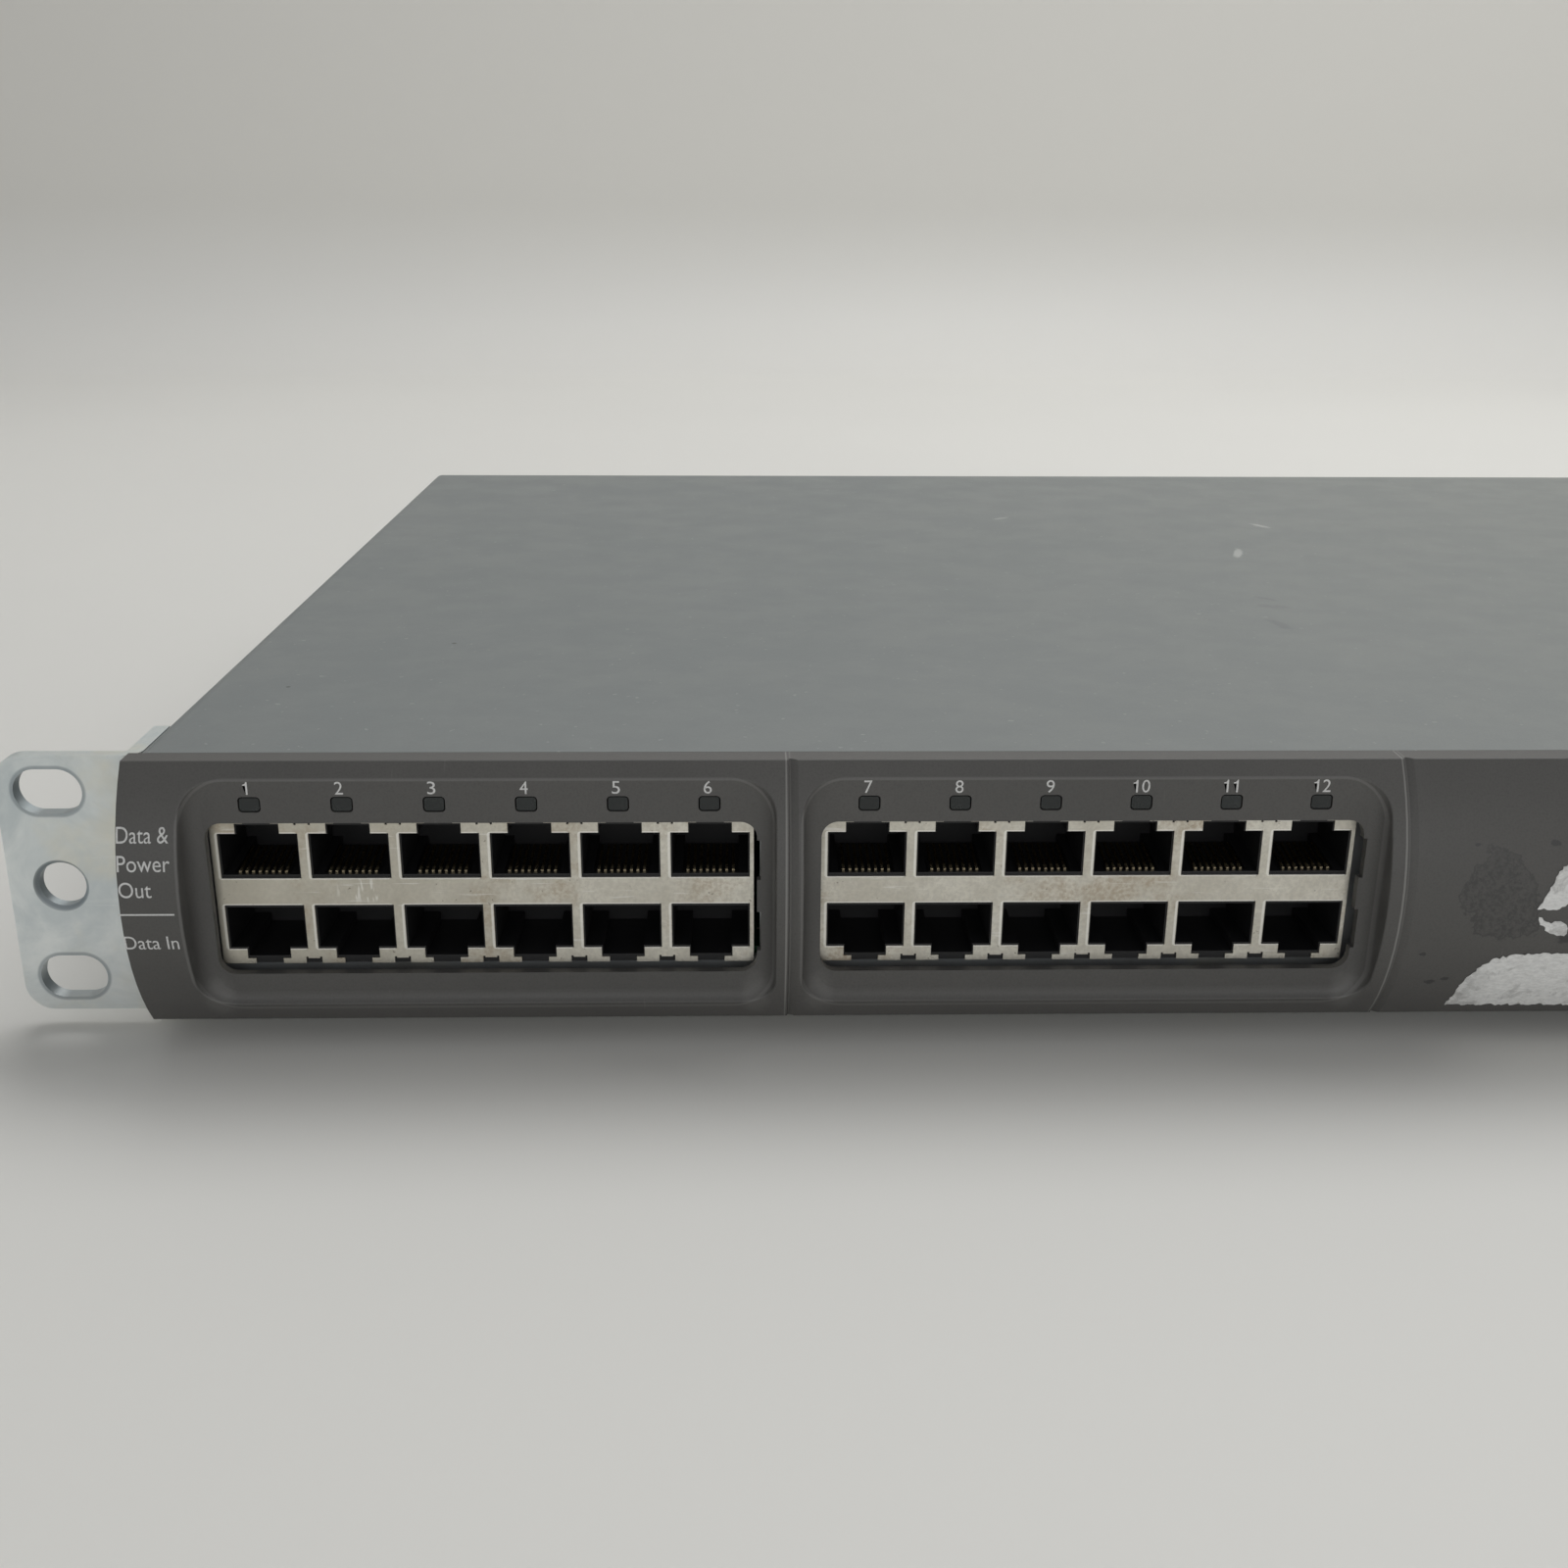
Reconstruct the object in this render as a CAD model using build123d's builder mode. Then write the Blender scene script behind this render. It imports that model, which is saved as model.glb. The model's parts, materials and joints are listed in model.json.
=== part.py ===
"""One-unit rack chassis with two blocks of stacked data jacks, a power supply and two fans.

The part's frame has +X to the right when facing the jacks, +Y towards the rear and +Z up.
Its origin is on the surface that the feet stand on, below the middle of the whole outline.
"""
from build123d import *
import math
import os

os.makedirs("parts", exist_ok=True)

# ---------------------------------------------------------------- driving dimensions, mm
# Rack interface
rack_spacing_x = 465.12
rack_spacing_z = 31.75
ear_outer_width = 481.4

# Case
body_width = 435.6
body_height = 43.6
case_depth = 269.1
sheet = 1.2
fit_gap = 0.1
foot_height = 4.0
foot_radius = 8.0
bend_radius = 2.4

# Bezel
bezel_width = 436.8
bezel_radius = 35.0
bezel_bulge = 8.17
bezel_wall = 2.0
bezel_back = 3.3
pocket_floor = 2.4
pocket_floor_thickness = 1.5
pocket_wall = 1.2
pocket_half_width = 45.05
pocket_top = 22.5
pocket_bottom = -18.7
pocket_top_corner = 8.0
pocket_bottom_corner = 5.5
pocket_floor_round = 2.8
pocket_rim_round = 0.3
jack_window_half_width = 42.2
jack_window_top = 12.35
jack_window_bottom = -12.95
jack_window_corner = 2.6
side_relief = (0.6, 6.6)
groove_lead = 1.3
groove_steep = 0.2
groove_depth = 0.5
module_width = 95.0
hook_width = 6.0
hook_heights = (17.6, 19.0, 20.0)
tray_window = (85.4, 30.6)
tray_window_z = 2.3
tray_hook_slot = 3.0
tray_hook_z = 18.8
tray_bend_radius = 1.6
tray_rim_round = 1.1

# Jacks
port_pitch = 13.97
ports_per_row = 6
port_opening_width = 12.35
port_opening_height = 7.5
port_row_z = 6.0
tab_notch_width = 6.8
tab_notch_top = 11.4
tab_step_width = 4.3
edge_notch = (2.53, 0.85)
edge_notch_relief = (0.35, 0.25)
shield_width = 83.9
shield_offset = -0.25
shield_height = 24.5
shield_depth = 25.4
shield_sheet = 0.3
cavity_width = 11.9
cavity_height = 7.1
cavity_depth = 14.0
comb_front = 0.4
comb_back = 1.2
comb_height = 0.3
ledge_width = 1.55
ledge_rise = 1.2
contact_pitch = 1.02
contact_width = 0.4
contact_front = 1.3
contact_back = 9.35
contact_height = 0.6
contact_rise = 1.1
contact_thickness = 0.35

# Screws and vents in the case's sides
cover_screw_radius = 1.5
cover_screw_head = 2.55
ear_screw_radius = 2.0
ear_screw_head = 3.9
intake_pitch = 8.0
intake_slots = 18
intake_slot = (15.0, 3.2)
intake_row_z = 9.5
grille_pitch = 4.9
grille_slot_width = 3.2
grille_margin = 1.0

# Indicator windows
window_width = 3.4
window_height = 2.5
window_z = 15.35
window_corner = 0.65
lens_gap = 0.2
lens_recess = 0.15

# Fans
fan_size = 40.0
fan_thickness = 20.0
fan_hole_spacing = 32.0
fan_duct_radius = 18.8
rotor_radius = 18.2
rotor_hub_radius = 9.0
rotor_shaft_radius = 1.0
blade_count = 7
blade_pitch_angle = 38.0
blade_chord = 15.0
blade_thickness = 1.1
fan_base_thickness = 2.5
fan_arm_width = 2.4
bearing_tube_radius = 2.6
bearing_tube_start = -4.0
stator_radius = 7.2

# Boards
board_thickness = 1.6
board_screw_radius = 1.5
standoff_radius = 3.0

# Rear panel
inlet_flange = (50.0, 22.5, 3.0)
inlet_body = (27.0, 19.6, 28.0)
inlet_recess = (24.0, 16.4, 18.0)
inlet_recess_bevel = 4.5
inlet_screw_spacing = 40.0
inlet_screw_radius = 1.5
inlet_pin = (1.9, 3.9)
stud_radius = 2.5
stud_reach = 10.0

# ---------------------------------------------------------------- derived places
overall_depth = bezel_bulge + bezel_back + fit_gap + case_depth + stud_reach
jack_face_y = -overall_depth / 2 + bezel_bulge
case_front = jack_face_y + bezel_back + fit_gap
case_rear = case_front + case_depth
body_bottom = foot_height
body_top = foot_height + body_height
mid_z = foot_height + body_height / 2
floor_z = body_bottom + sheet
tray_width = body_width - 2 * sheet - 2 * fit_gap
tray_top = body_top - sheet - 2 * fit_gap
tray_front = case_front + fit_gap
tray_rear = case_rear - fit_gap
inner_half_width = tray_width / 2 - sheet
board_top = mid_z - shield_height / 2 - 0.05
board_bottom = board_top - board_thickness
cavity_floor = port_row_z - cavity_height / 2

groove_left = -body_width / 2 + 100.76
groove_centre = groove_left + module_width
groove_right = groove_left + 3 * module_width
left_block_x = groove_left - 47.175
right_block_x = groove_left + 47.175
status_window_x = (groove_right + 17.0, groove_right + 31.0)

blocks = {"left": left_block_x, "right": right_block_x}


def front_plane(behind_jacks):
    """The upright plane, seen from the front, this far behind the jacks' faces."""
    return Plane.XZ.offset(-(jack_face_y + behind_jacks))


def rear_plane(behind_case):
    """The upright plane, seen from the front, this far behind the case's rear edge."""
    return Plane.XZ.offset(-(case_rear + behind_case))


def side_plane(x):
    """The upright plane across X; its sketches are in Y and Z."""
    return Plane.YZ.offset(x)


def box_between(low, high, mode=Mode.ADD):
    """Add or cut a box given by its low and high corners."""
    size = [high[axis] - low[axis] for axis in range(3)]
    middle = [(high[axis] + low[axis]) / 2 for axis in range(3)]
    with Locations(tuple(middle)):
        Box(*size, mode=mode)


def port_columns(block_x):
    """The X of each jack column of a block."""
    return [block_x + (column - (ports_per_row - 1) / 2) * port_pitch for column in range(ports_per_row)]


# ---------------------------------------------------------------- shared hole places
cover_screw_y = [case_front + 42.0, case_front + 161.6, case_front + 247.0]
ear_screw_y = jack_face_y + 14.8
ear_screw_z = [mid_z - 12.0, mid_z + 10.0]
fan_centre_y = {"front": case_front + 126.6, "rear": case_front + 196.6}
fan_x = inner_half_width - fan_thickness / 2
intake_y = case_front + 150.0
inlet_x = 150.0
stud_x = 105.0
hook_x = [-bezel_width / 2 + 7.0, groove_left, groove_centre, 60.0, 140.0, bezel_width / 2 - 7.0]
foot_places = [(x, y) for x in (-190.0, 190.0) for y in (case_front + 24.0, case_rear - 24.0)]


def cut_side_holes(side, depth):
    """Cut one side's screw holes and vents, from the outside inwards by this depth."""
    outside = side * (body_width / 2 + 1.0)
    with BuildPart() as cutter:
        with BuildSketch(side_plane(outside)):
            with Locations(*[(y, mid_z) for y in cover_screw_y]):
                Circle(cover_screw_radius + fit_gap)
            with Locations(*[(ear_screw_y, z) for z in ear_screw_z]):
                Circle(ear_screw_radius + fit_gap)
            if side < 0:
                for row in (-1, 1):
                    with Locations((intake_y, mid_z + row * intake_row_z)):
                        with GridLocations(intake_pitch, 1, intake_slots, 1):
                            SlotOverall(*intake_slot, rotation=90)
            else:
                for centre in fan_centre_y.values():
                    for step in range(-3, 4):
                        half = math.sqrt((fan_duct_radius - grille_margin) ** 2 - (step * grille_pitch) ** 2)
                        with Locations((centre + step * grille_pitch, mid_z)):
                            SlotOverall(2 * half, grille_slot_width, rotation=90)
        extrude(amount=-side * depth)
    return cutter.part


# ---------------------------------------------------------------- chassis tray
side_holes = {side: cut_side_holes(side, 12.0) for side in (-1, 1)}

with BuildPart() as chassis_tray:
    box_between((-tray_width / 2, tray_front, body_bottom), (tray_width / 2, tray_rear, tray_top))
    fillet(chassis_tray.edges().group_by(Axis.Z)[0], radius=tray_bend_radius)
    fillet(chassis_tray.edges().group_by(Axis.Z)[-1].filter_by(Axis.Y), radius=tray_rim_round)
    box_between(
        (-inner_half_width, tray_front + sheet, floor_z),
        (inner_half_width, tray_rear - sheet, tray_top + 1.0),
        mode=Mode.SUBTRACT,
    )
    # Front wall: one window for each jack block with its indicators above it
    with BuildSketch(front_plane(0)):
        for block_x in blocks.values():
            with Locations((block_x, mid_z + tray_window_z)):
                Rectangle(*tray_window)
        for window_x in status_window_x:
            with Locations((window_x, mid_z + window_z)):
                Rectangle(window_width + 0.8, window_height + 0.8)
        for place in hook_x:
            for row in (-1, 1):
                with Locations((place, mid_z + row * tray_hook_z)):
                    Rectangle(hook_width + 0.8, tray_hook_slot)
    extrude(amount=-8.0, mode=Mode.SUBTRACT)
    # Rear wall: mains inlet, its two screws and the earth stud
    with BuildSketch(rear_plane(1.0)):
        with Locations((inlet_x, mid_z)):
            Rectangle(inlet_body[0] + 0.4, inlet_body[1] + 0.4)
            with GridLocations(inlet_screw_spacing, 1, 2, 1):
                Circle(inlet_screw_radius + fit_gap)
        with Locations((stud_x, mid_z)):
            Circle(stud_radius + 0.1)
    extrude(amount=6.0, mode=Mode.SUBTRACT)
    for cutter in side_holes.values():
        add(cutter, mode=Mode.SUBTRACT)
chassis_tray.part.label = "chassis_tray"
export_step(chassis_tray.part, "parts/chassis_tray.step")

# ---------------------------------------------------------------- top cover
with BuildPart() as top_cover:
    with BuildSketch(rear_plane(0)):
        with BuildLine():
            outer_half = body_width / 2
            FilletPolyline(
                (-outer_half, body_bottom),
                (-outer_half, body_top),
                (outer_half, body_top),
                (outer_half, body_bottom),
                radius=bend_radius,
            )
            Line((outer_half, body_bottom), (outer_half - sheet, body_bottom))
            FilletPolyline(
                (outer_half - sheet, body_bottom),
                (outer_half - sheet, body_top - sheet),
                (-outer_half + sheet, body_top - sheet),
                (-outer_half + sheet, body_bottom),
                radius=bend_radius - sheet,
            )
            Line((-outer_half + sheet, body_bottom), (-outer_half, body_bottom))
        make_face()
    extrude(amount=case_depth)
    for cutter in side_holes.values():
        add(cutter, mode=Mode.SUBTRACT)
    # Countersinks for the cover's flat-head screws
    for side in (-1, 1):
        for y in cover_screw_y:
            sink = Plane(origin=(side * body_width / 2, y, mid_z), x_dir=(0, 1, 0), z_dir=(side, 0, 0))
            with Locations(sink.offset(-0.55)):
                Cone(cover_screw_radius + fit_gap, cover_screw_head + 0.3, 1.1, mode=Mode.SUBTRACT)
top_cover.part.label = "top_cover"
export_step(top_cover.part, "parts/top_cover.step")

# ---------------------------------------------------------------- front bezel
arc_centre_y = jack_face_y - bezel_bulge + bezel_radius


def arc_y(radius, height):
    """Y of the bezel's arc of this radius at this height above its middle."""
    return arc_centre_y - math.sqrt(radius**2 - height**2)


def bezel_profile(radius, half_height, back_y):
    """Draw the bezel's side profile: an arc in front and a flat back."""
    top = (arc_y(radius, half_height), mid_z + half_height)
    bottom = (arc_y(radius, half_height), mid_z - half_height)
    with BuildLine() as outline:
        ThreePointArc(top, (arc_centre_y - radius, mid_z), bottom)
        Polyline(bottom, (back_y, mid_z - half_height), (back_y, mid_z + half_height), top)
    return make_face(outline.edges(), mode=Mode.PRIVATE)


def pocket_blocks(floor_place, margin, floor_round):
    """Rounded blocks in the two pockets' places, grown by a margin, from their floor forwards."""
    with BuildPart() as pockets:
        with BuildSketch(front_plane(floor_place)) as outlines:
            with Locations(*[(x, mid_z + (pocket_top + pocket_bottom) / 2) for x in blocks.values()]):
                Rectangle(2 * (pocket_half_width + margin), pocket_top - pocket_bottom + 2 * margin)
            fillet(outlines.vertices().group_by(Axis.Y)[-1], radius=pocket_top_corner + margin)
            fillet(outlines.vertices().sort_by(Axis.Y)[:4], radius=pocket_bottom_corner + margin)
        extrude(amount=bezel_bulge)
        if floor_round > 0:
            fillet(pockets.edges().group_by(Axis.Y)[-1], radius=floor_round)
    return pockets.part


pocket_trays = pocket_blocks(-pocket_floor + pocket_floor_thickness, pocket_wall, 0.0)
pocket_cuts = pocket_blocks(-pocket_floor, 0.0, pocket_floor_round)

# The hollow behind the bezel's face, with the two pockets' trays left standing in it
with BuildPart() as bezel_hollow:
    with BuildSketch(side_plane(-bezel_width / 2 + bezel_wall)):
        hollow_back_y = jack_face_y + bezel_back + 1.0
        add(bezel_profile(bezel_radius - bezel_wall, body_height / 2 - bezel_wall, hollow_back_y))
    extrude(amount=bezel_width - 2 * bezel_wall)
    add(pocket_trays, mode=Mode.SUBTRACT)

with BuildPart() as front_bezel:
    with BuildSketch(side_plane(-bezel_width / 2)):
        add(bezel_profile(bezel_radius, body_height / 2, jack_face_y + bezel_back))
    extrude(amount=bezel_width)
    fillet(front_bezel.edges().filter_by(Axis.X).group_by(Axis.Y)[0], radius=0.4)
    add(bezel_hollow.part, mode=Mode.SUBTRACT)
    # Pockets around the jack blocks, with a softened rim where they break through the arc
    add(pocket_cuts, mode=Mode.SUBTRACT)
    arc_face = front_bezel.faces().filter_by(GeomType.CYLINDER).sort_by(SortBy.AREA)[-1]
    pocket_rims = ShapeList([edge for wire in arc_face.inner_wires() for edge in wire.edges()])
    fillet(pocket_rims, radius=pocket_rim_round)
    # Jack windows, with reliefs for the shield's spring fingers, and indicator windows
    with BuildSketch(front_plane(2.0)):
        jack_window_height = jack_window_top - jack_window_bottom
        for block_x in blocks.values():
            with Locations((block_x, mid_z + (jack_window_top + jack_window_bottom) / 2)):
                RectangleRounded(2 * jack_window_half_width, jack_window_height, jack_window_corner)
            with Locations((block_x + jack_window_half_width, mid_z)):
                with GridLocations(1, 2 * port_row_z, 1, 2):
                    Rectangle(2 * side_relief[0], side_relief[1])
            for column_x in port_columns(block_x):
                with Locations((column_x, mid_z + window_z)):
                    RectangleRounded(window_width, window_height, window_corner)
        for window_x in status_window_x:
            with Locations((window_x, mid_z + window_z)):
                RectangleRounded(window_width, window_height, window_corner)
    extrude(amount=12.0, mode=Mode.SUBTRACT)
    # Grooves between the face's sections, following the arc: steep on the left, sloping on the right
    for groove_x in (groove_left, groove_centre, groove_right):
        front_y = jack_face_y - bezel_bulge
        with BuildSketch(Plane.XY.offset(mid_z)):
            Polygon(
                (groove_x - 2 * groove_steep, front_y - groove_depth),
                (groove_x + 2 * groove_lead, front_y - groove_depth),
                (groove_x, front_y + groove_depth),
                align=None,
            )
        revolve(axis=Axis((0, arc_centre_y, mid_z), (1, 0, 0)), mode=Mode.SUBTRACT)
    # Snap hooks that reach through the tray's front wall
    hook_inner, hook_outer, hook_barb = hook_heights
    root_y = arc_y(bezel_radius - bezel_wall, hook_inner) - 0.6
    barb_y = tray_front + sheet + 0.2
    tip_y = tray_front + sheet + 2.4
    for place in hook_x:
        for row in (-1, 1):
            with BuildSketch(side_plane(place - hook_width / 2)):
                with BuildLine():
                    Polyline(
                        (root_y, mid_z + row * hook_inner),
                        (tip_y, mid_z + row * hook_inner),
                        (tip_y, mid_z + row * hook_outer),
                        (barb_y, mid_z + row * hook_barb),
                        (barb_y, mid_z + row * hook_outer),
                        (root_y, mid_z + row * hook_outer),
                        close=True,
                    )
                make_face()
            extrude(amount=hook_width)
front_bezel.part.label = "front_bezel"
export_step(front_bezel.part, "parts/front_bezel.step")

# ---------------------------------------------------------------- stacked jack blocks


def make_jack_shield(name, block_x):
    """The tinned steel shell round one block of jacks, open below."""
    left = block_x + shield_offset - shield_width / 2
    low = mid_z - shield_height / 2
    with BuildPart() as shield:
        box_between(
            (left, jack_face_y, low),
            (left + shield_width, jack_face_y + shield_depth, low + shield_height),
        )
        box_between(
            (left + shield_sheet, jack_face_y + shield_sheet, low - 1.0),
            (left + shield_width - shield_sheet, jack_face_y + shield_depth - shield_sheet,
             low + shield_height - shield_sheet),
            mode=Mode.SUBTRACT,
        )
        opening_edge = port_row_z + port_opening_height / 2
        edge = shield_height / 2
        with BuildSketch(front_plane(shield_sheet)):
            for row in (-1, 1):
                with Locations((block_x, mid_z + row * port_row_z)):
                    with GridLocations(port_pitch, 1, ports_per_row, 1):
                        Rectangle(port_opening_width, port_opening_height)
                with Locations((block_x, mid_z + row * opening_edge)):
                    with GridLocations(port_pitch, 1, ports_per_row, 1):
                        Rectangle(tab_notch_width, 2 * (tab_notch_top - opening_edge))
                        Rectangle(tab_step_width, 2 * (edge - opening_edge) + 1.0)
                with Locations((block_x, mid_z + row * edge)):
                    with GridLocations(port_pitch, 1, ports_per_row - 1, 1):
                        Rectangle(edge_notch[0], 2 * edge_notch[1])
                        with GridLocations(edge_notch[0] - edge_notch_relief[0], 1, 2, 1):
                            Rectangle(edge_notch_relief[0], 2 * (edge_notch[1] + edge_notch_relief[1]))
        extrude(amount=2.0, mode=Mode.SUBTRACT)
    shield.part.label = name
    export_step(shield.part, f"parts/{name}.step")


def make_jack_housing(name, block_x):
    """The moulded insert with one cavity and tab channel for each jack."""
    gap = shield_sheet + 0.05
    half = shield_width / 2 - gap
    low = mid_z - shield_height / 2
    with BuildPart() as housing:
        box_between(
            (block_x + shield_offset - half, jack_face_y + gap, low),
            (block_x + shield_offset + half, jack_face_y + shield_depth - gap, low + shield_height - gap),
        )
        for row in (-1, 1):
            with BuildSketch(front_plane(0)):
                with Locations((block_x, mid_z + row * port_row_z)):
                    with GridLocations(port_pitch, 1, ports_per_row, 1):
                        Rectangle(cavity_width, cavity_height)
                with Locations((block_x, mid_z + row * (port_row_z + cavity_height / 2))):
                    with GridLocations(port_pitch, 1, ports_per_row, 1):
                        Rectangle(tab_notch_width - 0.3, 3.0)
            extrude(amount=-cavity_depth, mode=Mode.SUBTRACT)
        # In each cavity, a comb in front of the contacts and a sloping ledge on each side of them
        ledge_offsets = (-cavity_width / 2, cavity_width / 2 - ledge_width)
        for row in (-1, 1):
            root_z = mid_z + row * (cavity_floor - 0.1)
            comb_z = mid_z + row * (cavity_floor + comb_height)
            with BuildSketch(*[side_plane(x - cavity_width / 2) for x in port_columns(block_x)]):
                Polygon(
                    (jack_face_y + comb_front, root_z),
                    (jack_face_y + comb_back, root_z),
                    (jack_face_y + comb_back, comb_z),
                    (jack_face_y + comb_front, comb_z),
                    align=None,
                )
            extrude(amount=cavity_width)
            ledge_places = [x + step for x in port_columns(block_x) for step in ledge_offsets]
            with BuildSketch(*[side_plane(x) for x in ledge_places]):
                Polygon(
                    (jack_face_y + comb_front, root_z),
                    (jack_face_y + cavity_depth + 0.1, root_z),
                    (jack_face_y + cavity_depth + 0.1, comb_z + row * ledge_rise),
                    (jack_face_y + comb_front, comb_z),
                    align=None,
                )
            extrude(amount=ledge_width)
    housing.part.label = name
    export_step(housing.part, f"parts/{name}.step")


def make_jack_contacts(name, block_x):
    """Eight sloping spring contacts in each jack, on the side away from the tab."""
    inner_y = jack_face_y + contact_front + contact_thickness
    places = [
        column_x + (index - 3.5) * contact_pitch - contact_width / 2
        for column_x in port_columns(block_x)
        for index in range(8)
    ]
    with BuildPart() as contacts:
        for row in (-1, 1):
            with BuildSketch(*[side_plane(x) for x in places]):
                bend_z = cavity_floor + contact_height
                Polygon(
                    (jack_face_y + contact_front, mid_z + row * cavity_floor),
                    (jack_face_y + contact_front, mid_z + row * bend_z),
                    (jack_face_y + contact_back, mid_z + row * (bend_z + contact_rise)),
                    (jack_face_y + contact_back, mid_z + row * (bend_z + contact_rise - contact_thickness)),
                    (inner_y, mid_z + row * (bend_z - contact_thickness)),
                    (inner_y, mid_z + row * cavity_floor),
                    align=None,
                )
            extrude(amount=contact_width)
    contacts.part.label = name
    export_step(contacts.part, f"parts/{name}.step")


# ---------------------------------------------------------------- light guides
pipe_low_z = mid_z + window_z - window_height / 2 + lens_gap
pipe_drop_y = jack_face_y + shield_depth + 1.0
pipe_thickness = 2.4


def make_light_pipes(name, columns, front_y):
    """A clear comb: one guide from each window back and down to the board, joined by a bar."""
    half = window_width / 2 - lens_gap
    with BuildPart() as pipes:
        with BuildSketch(Plane.XZ.offset(-front_y)):
            with Locations(*[(x, mid_z + window_z) for x in columns]):
                RectangleRounded(2 * half, window_height - 2 * lens_gap, window_corner - lens_gap)
        extrude(amount=-(pipe_drop_y + pipe_thickness - front_y))
        for column_x in columns:
            box_between(
                (column_x - half, pipe_drop_y, board_top + 1.2),
                (column_x + half, pipe_drop_y + pipe_thickness, mid_z + window_z),
            )
        box_between(
            (columns[0], pipe_drop_y, pipe_low_z - 3.0),
            (columns[-1], pipe_drop_y + pipe_thickness, pipe_low_z - 1.0),
        )
    pipes.part.label = name
    export_step(pipes.part, f"parts/{name}.step")


pipe_front_y = jack_face_y - pocket_floor + lens_recess
status_pipe_front_y = arc_y(bezel_radius, window_z - window_height / 2) + 0.9
for side_name, block_x in blocks.items():
    make_jack_shield(f"{side_name}_jack_shield", block_x)
    make_jack_housing(f"{side_name}_jack_housing", block_x)
    make_jack_contacts(f"{side_name}_jack_contacts", block_x)
    make_light_pipes(f"{side_name}_light_pipes", port_columns(block_x), pipe_front_y)
make_light_pipes("status_light_pipes", status_window_x, status_pipe_front_y)

# ---------------------------------------------------------------- rack ears
ear_sheet = 2.5
ear_face = jack_face_y + 5.55
ear_top = mid_z + 20.6
ear_bottom = mid_z - 22.9
ear_flange_length = 15.5
ear_hole_z = mid_z - 1.15
ear_slot = (10.65, 7.4)
ear_hole_radius = 3.7
ear_corner_round = 4.5


def make_rack_ear(name, side):
    """An angle bracket: a slotted front plate and a flange against the case's side."""
    inner = side * (body_width / 2 + fit_gap)
    outer = side * ear_outer_width / 2
    with BuildPart() as ear:
        with BuildSketch(Plane.XY.offset(ear_bottom)):
            with BuildLine():
                Polyline(
                    (inner, ear_face),
                    (outer, ear_face),
                    (outer, ear_face + ear_sheet),
                    (inner + side * ear_sheet, ear_face + ear_sheet),
                    (inner + side * ear_sheet, ear_face + ear_flange_length),
                    (inner, ear_face + ear_flange_length),
                    close=True,
                )
            make_face()
        extrude(amount=ear_top - ear_bottom)
        corner = ear.edges().filter_by(Axis.Z).filter_by_position(Axis.Y, ear_face - 0.1, ear_face + 0.1)
        fillet(corner.sort_by(Axis.X)[-1 if side < 0 else 0], radius=ear_sheet + 0.4)
        tips = ear.edges().filter_by(Axis.Y).group_by(Axis.X)[0 if side < 0 else -1]
        fillet(tips, radius=ear_corner_round)
        with BuildSketch(Plane.XZ.offset(-ear_face)):
            with Locations((side * rack_spacing_x / 2, ear_hole_z)):
                with GridLocations(1, rack_spacing_z, 1, 2):
                    SlotOverall(*ear_slot)
                Circle(ear_hole_radius)
        extrude(amount=-2 * ear_sheet, both=True, mode=Mode.SUBTRACT)
        hole_centre = (side * rack_spacing_x / 2, ear_face, ear_hole_z)
        rim = Plane(origin=hole_centre, x_dir=(1, 0, 0), z_dir=(0, -1, 0))
        with Locations(rim.offset(-0.35)):
            Cone(ear_hole_radius, ear_hole_radius + 0.7, 0.7, mode=Mode.SUBTRACT)
        for z in ear_screw_z:
            seat_centre = (inner + side * ear_sheet, ear_screw_y, z)
            seat = Plane(origin=seat_centre, x_dir=(0, 1, 0), z_dir=(side, 0, 0))
            with Locations(seat):
                CounterSinkHole(
                    ear_screw_radius + fit_gap,
                    ear_screw_head + 0.2,
                    depth=ear_sheet + 1.0,
                    counter_sink_angle=90,
                )
    ear.part.label = name
    export_step(ear.part, f"parts/{name}.step")


make_rack_ear("left_rack_ear", -1)
make_rack_ear("right_rack_ear", 1)

# ---------------------------------------------------------------- screws


def flat_head_screw(plane, radius, head_radius, length):
    """A flat-head screw whose head is flush with the plane and whose shank runs behind it."""
    head = head_radius - radius
    with Locations(plane.offset(-head / 2)):
        Cone(radius, head_radius, head)
    with Locations(plane.offset(-length / 2)):
        Cylinder(radius, length)
    with Locations(plane.offset(-0.4)):
        Box(head_radius, 0.8, 0.8, mode=Mode.SUBTRACT)
        Box(0.8, head_radius, 0.8, mode=Mode.SUBTRACT)


def pan_head_screw(plane, radius, length):
    """A pan-head screw seated on the plane, its shank behind it."""
    with Locations(plane.offset(-length / 2)):
        Cylinder(radius, length)
    with Locations(plane.offset(0.9)):
        Cylinder(radius * 1.9, 1.8)
    with Locations(plane.offset(1.4)):
        Box(radius * 2.2, 0.7, 0.81, mode=Mode.SUBTRACT)
        Box(0.7, radius * 2.2, 0.81, mode=Mode.SUBTRACT)


with BuildPart() as ear_screws:
    for side in (-1, 1):
        for z in ear_screw_z:
            face_x = side * (body_width / 2 + fit_gap + ear_sheet - 0.1)
            seat = Plane(origin=(face_x, ear_screw_y, z), x_dir=(0, 1, 0), z_dir=(side, 0, 0))
            flat_head_screw(seat, ear_screw_radius, ear_screw_head, 6.5)
ear_screws.part.label = "ear_screws"
export_step(ear_screws.part, "parts/ear_screws.step")

with BuildPart() as cover_screws:
    for side in (-1, 1):
        for y in cover_screw_y:
            face_x = side * (body_width / 2 - fit_gap)
            seat = Plane(origin=(face_x, y, mid_z), x_dir=(0, 1, 0), z_dir=(side, 0, 0))
            flat_head_screw(seat, cover_screw_radius, cover_screw_head, 6.0)
cover_screws.part.label = "cover_screws"
export_step(cover_screws.part, "parts/cover_screws.step")

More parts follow.
